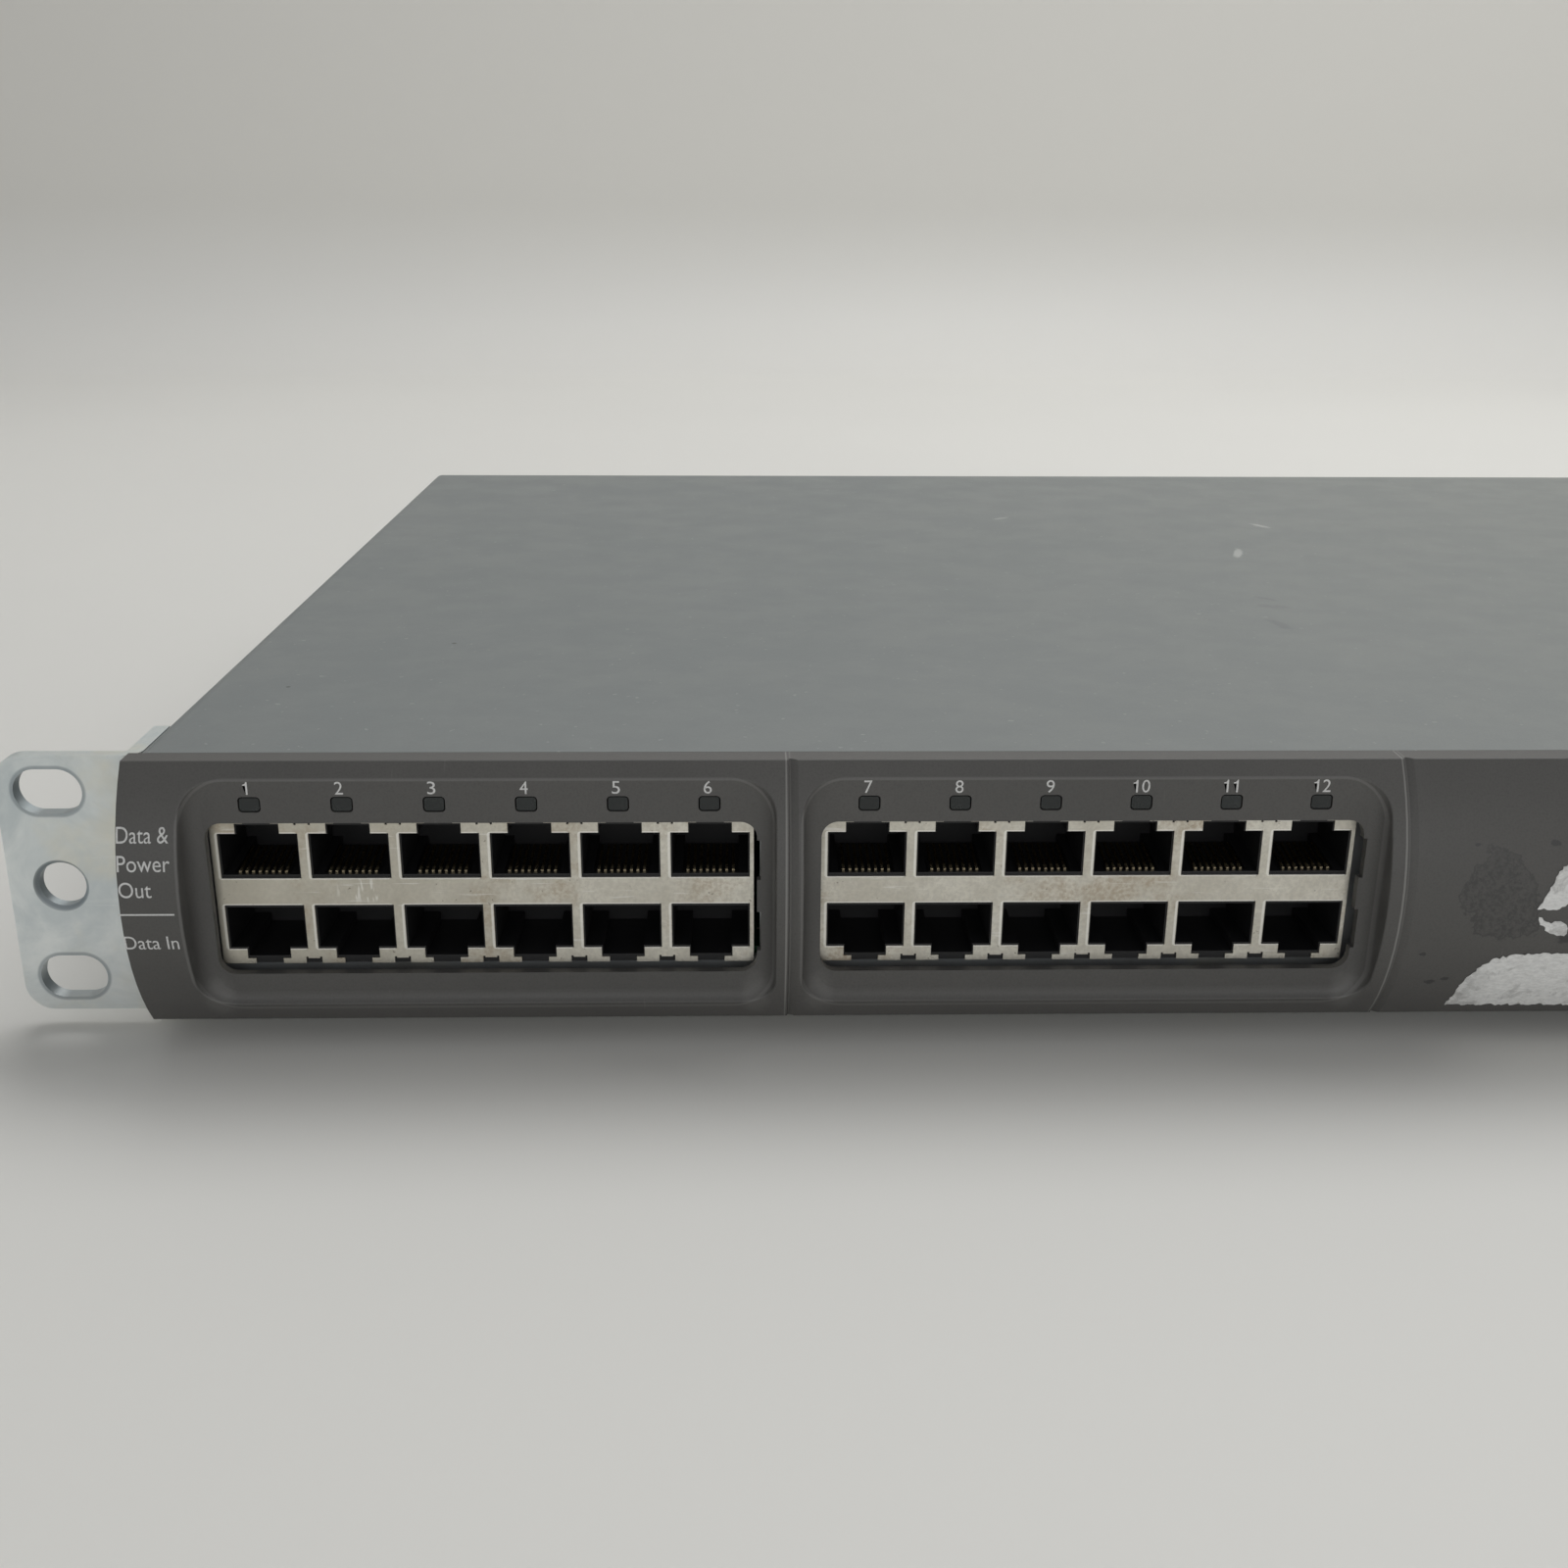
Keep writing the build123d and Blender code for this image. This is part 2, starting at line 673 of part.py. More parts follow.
# ---------------------------------------------------------------- feet
with BuildPart() as rubber_feet:
    with BuildSketch(Plane.XY):
        with Locations(*foot_places):
            Circle(foot_radius - 1.0)
    extrude(amount=foot_height, taper=-14.0)
rubber_feet.part.label = "rubber_feet"
export_step(rubber_feet.part, "parts/rubber_feet.step")

# ---------------------------------------------------------------- circuit boards
port_board_x = (-213.0, -14.0)
port_board_y = (tray_front + sheet + 1.0, case_front + 112.0)
control_board_x = (70.0, 211.0)
control_board_y = (tray_front + sheet + 1.0, case_front + 84.0)
supply_board_x = (22.0, 186.0)
supply_board_y = (case_front + 98.0, case_front + 232.0)
boards = {
    "port_board": (port_board_x, port_board_y, 28.0),
    "control_board": (control_board_x, control_board_y, 28.0),
    "supply_board": (supply_board_x, supply_board_y, 5.0),
}
screw_inset = 4.5


def board_screw_places(extent_x, extent_y, front_inset):
    """The four holes near a board's corners."""
    return [
        (x, y)
        for x in (extent_x[0] + screw_inset, extent_x[1] - screw_inset)
        for y in (extent_y[0] + front_inset, extent_y[1] - screw_inset)
    ]


all_screw_places = []
for board_place in boards.values():
    all_screw_places += board_screw_places(*board_place)


def make_board(name, extent_x, extent_y, front_inset):
    """A bare printed board with its four screw holes."""
    with BuildPart() as board:
        box_between((extent_x[0], extent_y[0], board_bottom), (extent_x[1], extent_y[1], board_top))
        with BuildSketch(Plane.XY.offset(board_bottom)):
            with Locations(*board_screw_places(extent_x, extent_y, front_inset)):
                Circle(board_screw_radius + 0.1)
        extrude(amount=board_thickness, mode=Mode.SUBTRACT)
    board.part.label = name
    export_step(board.part, f"parts/{name}.step")


for board_name, board_place in boards.items():
    make_board(board_name, *board_place)

with BuildPart() as board_standoffs:
    with BuildSketch(Plane.XY.offset(floor_z)):
        with Locations(*all_screw_places):
            RegularPolygon(standoff_radius, 6)
            Circle(board_screw_radius + 0.05, mode=Mode.SUBTRACT)
    extrude(amount=board_bottom - floor_z)
board_standoffs.part.label = "board_standoffs"
export_step(board_standoffs.part, "parts/board_standoffs.step")

with BuildPart() as board_screws:
    for x, y in all_screw_places:
        pan_head_screw(Plane.XY.offset(board_top).move(Location((x, y, 0))), board_screw_radius, 6.0)
board_screws.part.label = "board_screws"
export_step(board_screws.part, "parts/board_screws.step")

# ---------------------------------------------------------------- port board components
with BuildPart() as indicator_leds:
    for block_x in blocks.values():
        for column_x in port_columns(block_x):
            box_between(
                (column_x - 1.0, pipe_drop_y + 0.2, board_top),
                (column_x + 1.0, pipe_drop_y + 2.2, board_top + 1.0),
            )
    for window_x in status_window_x:
        box_between(
            (window_x - 1.0, pipe_drop_y + 0.2, board_top),
            (window_x + 1.0, pipe_drop_y + 2.2, board_top + 1.0),
        )
indicator_leds.part.label = "indicator_leds"
export_step(indicator_leds.part, "parts/indicator_leds.step")

with BuildPart() as line_transformers:
    with BuildSketch(Plane.XY.offset(board_top)):
        with Locations(*[(x, pipe_drop_y + 14.0) for block in blocks.values() for x in port_columns(block)]):
            Rectangle(11.0, 14.5)
    extrude(amount=6.2)
    chamfer(line_transformers.edges().filter_by(Axis.Y).group_by(Axis.Z)[-1], length=0.6)
line_transformers.part.label = "line_transformers"
export_step(line_transformers.part, "parts/line_transformers.step")

with BuildPart() as power_controller_chips:
    with BuildSketch(Plane.XY.offset(board_top)):
        with Locations(*[(x, pipe_drop_y + 34.0) for x in (-180.0, -117.0, -54.0)]):
            Rectangle(14.0, 14.0)
    extrude(amount=1.7)
power_controller_chips.part.label = "power_controller_chips"
export_step(power_controller_chips.part, "parts/power_controller_chips.step")

with BuildPart() as port_switch_transistors:
    with BuildSketch(Plane.XY.offset(board_top)):
        with Locations(*[(x, pipe_drop_y + 49.0) for block in blocks.values() for x in port_columns(block)]):
            Rectangle(6.6, 6.2)
    extrude(amount=2.3)
port_switch_transistors.part.label = "port_switch_transistors"
export_step(port_switch_transistors.part, "parts/port_switch_transistors.step")

with BuildPart() as filter_coils:
    for x in (-185.0, -149.0, -113.0, -77.0):
        with Locations((x, pipe_drop_y + 64.0, board_top + 3.5)):
            Torus(7.0, 3.5)
filter_coils.part.label = "filter_coils"
export_step(filter_coils.part, "parts/filter_coils.step")

with BuildPart() as port_board_capacitors:
    with BuildSketch(Plane.XY.offset(board_top)):
        with Locations(*[(x, pipe_drop_y + 62.0) for x in (-55.0, -42.0)]):
            Circle(5.0)
    extrude(amount=16.0)
    fillet(port_board_capacitors.edges().group_by(Axis.Z)[-1], radius=0.6)
port_board_capacitors.part.label = "port_board_capacitors"
export_step(port_board_capacitors.part, "parts/port_board_capacitors.step")

# Board connectors: one header for each lead
ribbon_y = case_front + 58.0
ribbon_width = 20.0
dc_terminal_x = -26.0
dc_terminal_y = case_front + 94.0
supply_output_x = 28.0
supply_output_y = supply_board_y[0] + 20.0
fan_header_x = 196.0
fan_header_y = control_board_y[1] - 16.0
with BuildPart() as board_connectors:
    box_between((-30.0, ribbon_y - 13.0, board_top), (-24.0, ribbon_y + 13.0, board_top + 6.0))
    box_between((76.0, ribbon_y - 13.0, board_top), (82.0, ribbon_y + 13.0, board_top + 6.0))
    box_between(
        (dc_terminal_x - 5.0, dc_terminal_y - 8.0, board_top),
        (dc_terminal_x + 5.0, dc_terminal_y + 8.0, board_top + 9.0),
    )
    box_between(
        (supply_output_x - 4.0, supply_output_y - 8.0, board_top),
        (supply_output_x + 5.0, supply_output_y + 8.0, board_top + 9.0),
    )
    box_between(
        (fan_header_x - 6.0, fan_header_y - 3.0, board_top),
        (fan_header_x + 6.0, fan_header_y + 3.0, board_top + 7.0),
    )
board_connectors.part.label = "board_connectors"
export_step(board_connectors.part, "parts/board_connectors.step")

# ---------------------------------------------------------------- control board components
with BuildPart() as control_chips:
    with BuildSketch(Plane.XY.offset(board_top)):
        with Locations((120.0, control_board_y[0] + 34.0)):
            Rectangle(22.0, 22.0)
        with Locations((154.0, control_board_y[0] + 30.0), (154.0, control_board_y[0] + 46.0)):
            Rectangle(18.0, 10.0)
    extrude(amount=1.8)
control_chips.part.label = "control_chips"
export_step(control_chips.part, "parts/control_chips.step")

# ---------------------------------------------------------------- power supply components
supply_mid_y = (supply_board_y[0] + supply_board_y[1]) / 2
transformer_x = 82.0
transformer_y = supply_board_y[0] + 62.0
core_size = (42.0, 34.0, 26.0)

core_half = (core_size[0] / 2, core_size[1] / 2 - 8.0)
with BuildPart() as transformer_core:
    box_between(
        (transformer_x - core_half[0], transformer_y - core_half[1], board_top + 2.0),
        (transformer_x + core_half[0], transformer_y + core_half[1], board_top + 2.0 + core_size[2]),
    )
    for side in (-1, 1):
        window_x = transformer_x + side * (core_size[0] / 4 + 0.5)
        box_between(
            (window_x - 5.5, transformer_y - 20.0, board_top + 2.0 + 5.0),
            (window_x + 5.5, transformer_y + 20.0, board_top + 2.0 + core_size[2] - 5.0),
            mode=Mode.SUBTRACT,
        )
transformer_core.part.label = "transformer_core"
export_step(transformer_core.part, "parts/transformer_core.step")

with BuildPart() as transformer_winding:
    with BuildSketch(Plane.XY.offset(board_top + 7.4)):
        with Locations((transformer_x, transformer_y)):
            RectangleRounded(31.0, 32.0, 6.0)
            Rectangle(11.4, core_size[1] - 15.6, mode=Mode.SUBTRACT)
    extrude(amount=core_size[2] - 10.8)
transformer_winding.part.label = "transformer_winding"
export_step(transformer_winding.part, "parts/transformer_winding.step")

bulk_places = [(140.0, supply_board_y[0] + 22.0), (168.0, supply_board_y[0] + 22.0)]
with BuildPart() as bulk_capacitors:
    with BuildSketch(Plane.XY.offset(board_top)):
        with Locations(*bulk_places):
            Circle(12.5)
    extrude(amount=29.0)
    fillet(bulk_capacitors.edges().group_by(Axis.Z)[-1], radius=1.2)
bulk_capacitors.part.label = "bulk_capacitors"
export_step(bulk_capacitors.part, "parts/bulk_capacitors.step")

with BuildPart() as output_capacitors:
    with BuildSketch(Plane.XY.offset(board_top)):
        with Locations((48.0, supply_mid_y)):
            with GridLocations(14.0, 16.0, 1, 4):
                Circle(6.3)
    extrude(amount=25.0)
    fillet(output_capacitors.edges().group_by(Axis.Z)[-1], radius=0.8)
output_capacitors.part.label = "output_capacitors"
export_step(output_capacitors.part, "parts/output_capacitors.step")

sink_y = {"primary": supply_board_y[0] + 44.0, "secondary": supply_board_y[0] + 96.0}
sink_x = {"primary": (112.0, 180.0), "secondary": (60.0, 106.0)}
with BuildPart() as supply_heat_sinks:
    for key, base_y in sink_y.items():
        low_x, high_x = sink_x[key]
        box_between((low_x, base_y, board_top), (high_x, base_y + 3.0, board_top + 28.0))
        fin_count = int((high_x - low_x) // 6)
        for fin in range(fin_count):
            fin_x = low_x + 3.0 + fin * 6.0
            box_between(
                (fin_x - 0.7, base_y + 3.0, board_top),
                (fin_x + 0.7, base_y + 11.0, board_top + 28.0),
            )
supply_heat_sinks.part.label = "supply_heat_sinks"
export_step(supply_heat_sinks.part, "parts/supply_heat_sinks.step")

with BuildPart() as power_transistors:
    for key, base_y in sink_y.items():
        low_x, high_x = sink_x[key]
        for step in (0.25, 0.75):
            place = low_x + step * (high_x - low_x)
            box_between((place - 5.0, base_y - 4.5, board_top + 4.0), (place + 5.0, base_y, board_top + 19.0))
power_transistors.part.label = "power_transistors"
export_step(power_transistors.part, "parts/power_transistors.step")

choke_x = 150.0
choke_y = supply_board_y[0] + 82.0
with BuildPart() as mains_filter_choke:
    with Locations(Location((choke_x, choke_y, board_top + 12.5), (90, 0, 0))):
        Torus(8.6, 3.8)
mains_filter_choke.part.label = "mains_filter_choke"
export_step(mains_filter_choke.part, "parts/mains_filter_choke.step")

with BuildPart() as mains_filter_capacitors:
    box_between((112.0, choke_y - 3.0, board_top), (130.0, choke_y + 6.0, board_top + 15.0))
    box_between((112.0, choke_y + 14.0, board_top), (130.0, choke_y + 22.0, board_top + 14.0))
mains_filter_capacitors.part.label = "mains_filter_capacitors"
export_step(mains_filter_capacitors.part, "parts/mains_filter_capacitors.step")

fuse_x = 172.0
fuse_z = board_top + 5.0
fuse_radius = 2.5
with BuildPart() as mains_fuse:
    with Locations(Location((fuse_x, choke_y + 4.0, fuse_z), (90, 0, 0))):
        Cylinder(fuse_radius, 20.0)
mains_fuse.part.label = "mains_fuse"
export_step(mains_fuse.part, "parts/mains_fuse.step")

with BuildPart() as fuse_clips:
    for end in (-7.5, 7.5):
        clip_y = choke_y + 4.0 + end
        box_between((fuse_x - 3.4, clip_y - 2.0, board_top), (fuse_x + 3.4, clip_y + 2.0, board_top + 7.0))
        with Locations(Location((fuse_x, clip_y, fuse_z), (90, 0, 0))):
            Cylinder(fuse_radius + 0.05, 4.4, mode=Mode.SUBTRACT)
        box_between(
            (fuse_x - 1.6, clip_y - 2.2, fuse_z),
            (fuse_x + 1.6, clip_y + 2.2, board_top + 7.2),
            mode=Mode.SUBTRACT,
        )
fuse_clips.part.label = "fuse_clips"
export_step(fuse_clips.part, "parts/fuse_clips.step")

mains_terminal = (inlet_x, supply_board_y[1] - 12.0)
with BuildPart() as mains_terminal_block:
    box_between(
        (mains_terminal[0] - 12.0, mains_terminal[1] - 4.5, board_top),
        (mains_terminal[0] + 12.0, mains_terminal[1] + 4.5, board_top + 10.0),
    )
mains_terminal_block.part.label = "mains_terminal_block"
export_step(mains_terminal_block.part, "parts/mains_terminal_block.step")

# ---------------------------------------------------------------- mains inlet and earth stud
pin_tip_y = case_rear + inlet_flange[2] - 4.6
pin_places = [(-7.0, -2.0), (0.0, 2.0), (7.0, -2.0)]

with BuildPart() as inlet_housing:
    with BuildSketch(rear_plane(0)):
        with Locations((inlet_x, mid_z)):
            RectangleRounded(inlet_flange[0], inlet_flange[1], 4.0)
    extrude(amount=-inlet_flange[2])
    with BuildSketch(rear_plane(0)):
        with Locations((inlet_x, mid_z)):
            RectangleRounded(inlet_body[0], inlet_body[1], 1.5)
    extrude(amount=inlet_body[2])
    with BuildSketch(rear_plane(inlet_flange[2])):
        with Locations((inlet_x, mid_z)):
            half_x = inlet_recess[0] / 2
            half_z = inlet_recess[1] / 2
            cut = inlet_recess_bevel
            Polygon(
                (-half_x, -half_z),
                (half_x, -half_z),
                (half_x, half_z - cut),
                (half_x - cut, half_z),
                (-half_x + cut, half_z),
                (-half_x, half_z - cut),
                align=None,
            )
    extrude(amount=inlet_recess[2], mode=Mode.SUBTRACT)
    with BuildSketch(rear_plane(inlet_flange[2])):
        with Locations((inlet_x, mid_z)):
            with GridLocations(inlet_screw_spacing, 1, 2, 1):
                Circle(inlet_screw_radius + fit_gap)
            with Locations(*pin_places):
                Rectangle(inlet_pin[0] + fit_gap, inlet_pin[1] + fit_gap)
    extrude(amount=inlet_body[2] + inlet_flange[2], mode=Mode.SUBTRACT)
    for side in (-1, 1):
        sink = Plane(
            origin=(inlet_x + side * inlet_screw_spacing / 2, case_rear + inlet_flange[2], mid_z),
            x_dir=(1, 0, 0),
            z_dir=(0, 1, 0),
        )
        with Locations(sink.offset(-0.7)):
            Cone(inlet_screw_radius + fit_gap, 3.0, 1.4, mode=Mode.SUBTRACT)
inlet_housing.part.label = "inlet_housing"
export_step(inlet_housing.part, "parts/inlet_housing.step")

inlet_back_y = case_rear - inlet_body[2]
with BuildPart() as inlet_pins:
    for x, z in pin_places:
        box_between(
            (inlet_x + x - inlet_pin[0] / 2, inlet_back_y - 6.0, mid_z + z - inlet_pin[1] / 2),
            (inlet_x + x + inlet_pin[0] / 2, pin_tip_y, mid_z + z + inlet_pin[1] / 2),
        )
inlet_pins.part.label = "inlet_pins"
export_step(inlet_pins.part, "parts/inlet_pins.step")

with BuildPart() as inlet_screws:
    for side in (-1, 1):
        seat = Plane(
            origin=(inlet_x + side * inlet_screw_spacing / 2, case_rear + inlet_flange[2] - fit_gap, mid_z),
            x_dir=(1, 0, 0),
            z_dir=(0, 1, 0),
        )
        flat_head_screw(seat, inlet_screw_radius, 2.8, 9.0)
inlet_screws.part.label = "inlet_screws"
export_step(inlet_screws.part, "parts/inlet_screws.step")

stud_inside = 8.0
nut_thickness = 3.2
with BuildPart() as earth_stud:
    with BuildSketch(rear_plane(stud_reach)):
        with Locations((stud_x, mid_z)):
            Circle(stud_radius)
    extrude(amount=stud_reach + stud_inside)
    chamfer(earth_stud.edges().group_by(Axis.Y)[-1], length=0.4)
earth_stud.part.label = "earth_stud"
export_step(earth_stud.part, "parts/earth_stud.step")

with BuildPart() as earth_nuts:
    for start in (nut_thickness - fit_gap, -sheet - fit_gap):
        with BuildSketch(rear_plane(start)):
            with Locations((stud_x, mid_z)):
                RegularPolygon(4.6, 6)
                Circle(stud_radius + 0.05, mode=Mode.SUBTRACT)
        extrude(amount=nut_thickness)
earth_nuts.part.label = "earth_nuts"
export_step(earth_nuts.part, "parts/earth_nuts.step")

# ---------------------------------------------------------------- fans


def make_fan_frame(name, centre_y):
    """A square duct with a motor base held by four arms on its outlet side."""
    axis_plane = Plane(origin=(fan_x, centre_y, mid_z), x_dir=(0, 1, 0), z_dir=(1, 0, 0))
    with BuildPart(axis_plane) as frame:
        with BuildSketch(axis_plane.offset(-fan_thickness / 2)):
            RectangleRounded(fan_size, fan_size, 3.0)
            Circle(fan_duct_radius, mode=Mode.SUBTRACT)
            with GridLocations(fan_hole_spacing, fan_hole_spacing, 2, 2):
                Circle(1.7, mode=Mode.SUBTRACT)
        extrude(amount=fan_thickness)
        with BuildSketch(axis_plane.offset(fan_thickness / 2 - fan_base_thickness)):
            Circle(rotor_hub_radius)
            Rectangle(2 * fan_duct_radius + 0.5, fan_arm_width, rotation=45)
            Rectangle(2 * fan_duct_radius + 0.5, fan_arm_width, rotation=-45)
        extrude(amount=fan_base_thickness)
        with BuildSketch(axis_plane.offset(bearing_tube_start)):
            Circle(bearing_tube_radius)
            Circle(rotor_shaft_radius + 0.05, mode=Mode.SUBTRACT)
        extrude(amount=fan_thickness / 2 - fan_base_thickness - bearing_tube_start)
    frame.part.label = name
    export_step(frame.part, f"parts/{name}.step")


def make_fan_rotor(name, centre_y):
    """A cup with a shaft and pitched blades."""
    axis_plane = Plane(origin=(fan_x, centre_y, mid_z), x_dir=(0, 1, 0), z_dir=(1, 0, 0))
    cup_front = -fan_thickness / 2 + 1.5
    with BuildPart(axis_plane) as rotor:
        for blade in range(blade_count):
            turn = 360.0 / blade_count * blade
            root = axis_plane.rotated((0, 0, turn))
            chord_plane = Plane(origin=root.origin, x_dir=root.y_dir, z_dir=root.x_dir)
            with BuildSketch(chord_plane.offset(rotor_hub_radius - 0.8)):
                Rectangle(blade_chord, blade_thickness, rotation=90 - blade_pitch_angle)
            extrude(amount=rotor_radius - rotor_hub_radius + 3.0)
        with BuildSketch(axis_plane.offset(cup_front)):
            Circle(rotor_radius)
        extrude(amount=14.0, mode=Mode.INTERSECT)
        with BuildSketch(axis_plane.offset(cup_front)):
            Circle(rotor_hub_radius)
        extrude(amount=15.0)
        with BuildSketch(axis_plane.offset(cup_front + 1.5)):
            Circle(rotor_hub_radius - 1.0)
        extrude(amount=20.0, mode=Mode.SUBTRACT)
        with BuildSketch(axis_plane.offset(cup_front + 1.0)):
            Circle(rotor_shaft_radius)
        extrude(amount=13.5)
    rotor.part.label = name
    export_step(rotor.part, f"parts/{name}.step")


def make_fan_stator(name, centre_y):
    """The wound ring on the frame's bearing tube."""
    axis_plane = Plane(origin=(fan_x, centre_y, mid_z), x_dir=(0, 1, 0), z_dir=(1, 0, 0))
    with BuildPart(axis_plane) as stator:
        with BuildSketch(axis_plane.offset(-3.0)):
            Circle(stator_radius)
            Circle(bearing_tube_radius + 0.02, mode=Mode.SUBTRACT)
        extrude(amount=8.0)
    stator.part.label = name
    export_step(stator.part, f"parts/{name}.step")


for fan_name, centre_y in fan_centre_y.items():
    make_fan_frame(f"{fan_name}_fan_frame", centre_y)
    make_fan_rotor(f"{fan_name}_fan_rotor", centre_y)
    make_fan_stator(f"{fan_name}_fan_stator", centre_y)

with BuildPart() as fan_screws:
    for centre_y in fan_centre_y.values():
        for corner_y in (-1, 1):
            for corner_z in (-1, 1):
                seat = Plane(
                    origin=(
                        fan_x - fan_thickness / 2,
                        centre_y + corner_y * fan_hole_spacing / 2,
                        mid_z + corner_z * fan_hole_spacing / 2,
                    ),
                    x_dir=(0, 1, 0),
                    z_dir=(-1, 0, 0),
                )
                pan_head_screw(seat, 1.5, fan_thickness - fit_gap)
fan_screws.part.label = "fan_screws"
export_step(fan_screws.part, "parts/fan_screws.step")

# ---------------------------------------------------------------- wiring


def make_wires(name, routes, radius):
    """Insulated wires along straight runs joined by tangent arcs."""
    with BuildPart() as wires:
        for points, bend in routes:
            with BuildLine() as route:
                FilletPolyline(*points, radius=bend)
            start = Plane(origin=route.line @ 0, z_dir=route.line % 0)
            with BuildSketch(start):
                Circle(radius)
            sweep(path=route.line)
    wires.part.label = name
    export_step(wires.part, f"parts/{name}.step")


wire_exit_z = board_top + 4.7

# Mains wires: from the inlet's live and neutral tabs to the terminal block
tab_end_y = inlet_back_y - 6.0
block_rear_y = mains_terminal[1] + 4.5
mains_routes = []
for x in (inlet_x - 7.0, inlet_x + 7.0):
    mains_routes.append(
        (
            [
                (x, tab_end_y, mid_z - 2.0),
                (x, tab_end_y - 3.8, mid_z - 2.0),
                (x, block_rear_y + 3.4, board_top + 7.0),
                (x, block_rear_y, board_top + 7.0),
            ],
            3.5,
        )
    )
make_wires("mains_wires", mains_routes, 1.0)

# Earth wire: from the inlet's middle tab to the ring under the stud's inner nut
ring_rear_y = case_rear - sheet - fit_gap - nut_thickness
ring_thickness = 0.8
tongue_drop = 8.0
with BuildPart() as earth_ring_terminal:
    with BuildSketch(rear_plane(ring_rear_y - case_rear)):
        with Locations((stud_x, mid_z)):
            Circle(4.4)
        with Locations((stud_x, mid_z - tongue_drop / 2 - 1.0)):
            Rectangle(4.0, tongue_drop)
        with Locations((stud_x, mid_z)):
            Circle(stud_radius + 0.05, mode=Mode.SUBTRACT)
    extrude(amount=ring_thickness)
earth_ring_terminal.part.label = "earth_ring_terminal"
export_step(earth_ring_terminal.part, "parts/earth_ring_terminal.step")

earth_route = [
    (inlet_x, tab_end_y, mid_z + 2.0),
    (inlet_x, tab_end_y - 7.0, mid_z + 2.0),
    (inlet_x - 12.0, tab_end_y - 14.0, mid_z + 3.5),
    (inlet_x - 27.0, tab_end_y - 10.0, mid_z + 2.0),
    (stud_x + 6.0, tab_end_y + 6.0, mid_z - 3.0),
    (stud_x, ring_rear_y - ring_thickness - 10.0, mid_z - 7.0),
    (stud_x, ring_rear_y - ring_thickness, mid_z - 7.0),
]
make_wires("earth_wire", [(earth_route, 5.0)], 1.0)

# Supply wires: from the supply's output terminal to the port board's input terminal
dc_routes = []
for offset_y in (-3.0, 3.0):
    dc_routes.append(
        (
            [
                (dc_terminal_x + 5.0, dc_terminal_y + offset_y, wire_exit_z),
                (dc_terminal_x + 17.0, dc_terminal_y + offset_y, wire_exit_z),
                (supply_output_x - 16.0, supply_output_y + offset_y, wire_exit_z),
                (supply_output_x - 4.0, supply_output_y + offset_y, wire_exit_z),
            ],
            10.0,
        )
    )
make_wires("dc_wires", dc_routes, 1.1)

# Fan wires: one pair from each fan's front edge to the header on the control board
header_rear_y = fan_header_y + 3.0
front_fan_edge = fan_centre_y["front"] - fan_size / 2
rear_fan_edge = fan_centre_y["rear"] - fan_size / 2
aisle_x = fan_x - fan_thickness / 2 - 4.5
fan_routes = []
for lift in (0.0, 1.8):
    fan_routes.append(
        (
            [
                (fan_x - 4.0, front_fan_edge, wire_exit_z - 1.8 + lift),
                (fan_x - 4.0, front_fan_edge - 12.0, wire_exit_z - 1.8 + lift),
                (fan_header_x + 3.0, header_rear_y + 12.0, wire_exit_z - 1.8 + lift),
                (fan_header_x + 3.0, header_rear_y, wire_exit_z - 1.8 + lift),
            ],
            8.0,
        )
    )
    fan_routes.append(
        (
            [
                (fan_x - 6.0, rear_fan_edge, wire_exit_z - 1.8 + lift),
                (fan_x - 6.0, rear_fan_edge - 8.0, wire_exit_z - 1.8 + lift),
                (aisle_x, rear_fan_edge - 17.0, wire_exit_z - 1.8 + lift),
                (aisle_x, front_fan_edge - 10.0, wire_exit_z - 1.8 + lift),
                (fan_header_x - 3.0, header_rear_y + 8.0, wire_exit_z - 1.8 + lift),
                (fan_header_x - 3.0, header_rear_y, wire_exit_z - 1.8 + lift),
            ],
            6.0,
        )
    )
make_wires("fan_wires", fan_routes, 0.8)

# Ribbon cable: from the port board to the control board, dipping between them
ribbon_ends = (-24.0, 76.0)
ribbon_dip_z = floor_z + 4.5
with BuildPart() as ribbon_cable:
    with BuildLine() as ribbon_route:
        FilletPolyline(
            (ribbon_ends[0], ribbon_y, wire_exit_z),
            (ribbon_ends[0] + 14.0, ribbon_y, wire_exit_z),
            (ribbon_ends[0] + 27.0, ribbon_y, ribbon_dip_z),
            (ribbon_ends[1] - 27.0, ribbon_y, ribbon_dip_z),
            (ribbon_ends[1] - 14.0, ribbon_y, wire_exit_z),
            (ribbon_ends[1], ribbon_y, wire_exit_z),
            radius=7.0,
        )
    with BuildSketch(side_plane(ribbon_ends[0])):
        with Locations((ribbon_y, wire_exit_z)):
            Rectangle(ribbon_width, 0.9)
    sweep(path=ribbon_route.line)
ribbon_cable.part.label = "ribbon_cable"
export_step(ribbon_cable.part, "parts/ribbon_cable.step")
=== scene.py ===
"""Looks of the one-unit rack chassis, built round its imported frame. All sizes are in metres."""
import json
import math
import random

import bmesh
import bpy
from mathutils import Matrix, Vector


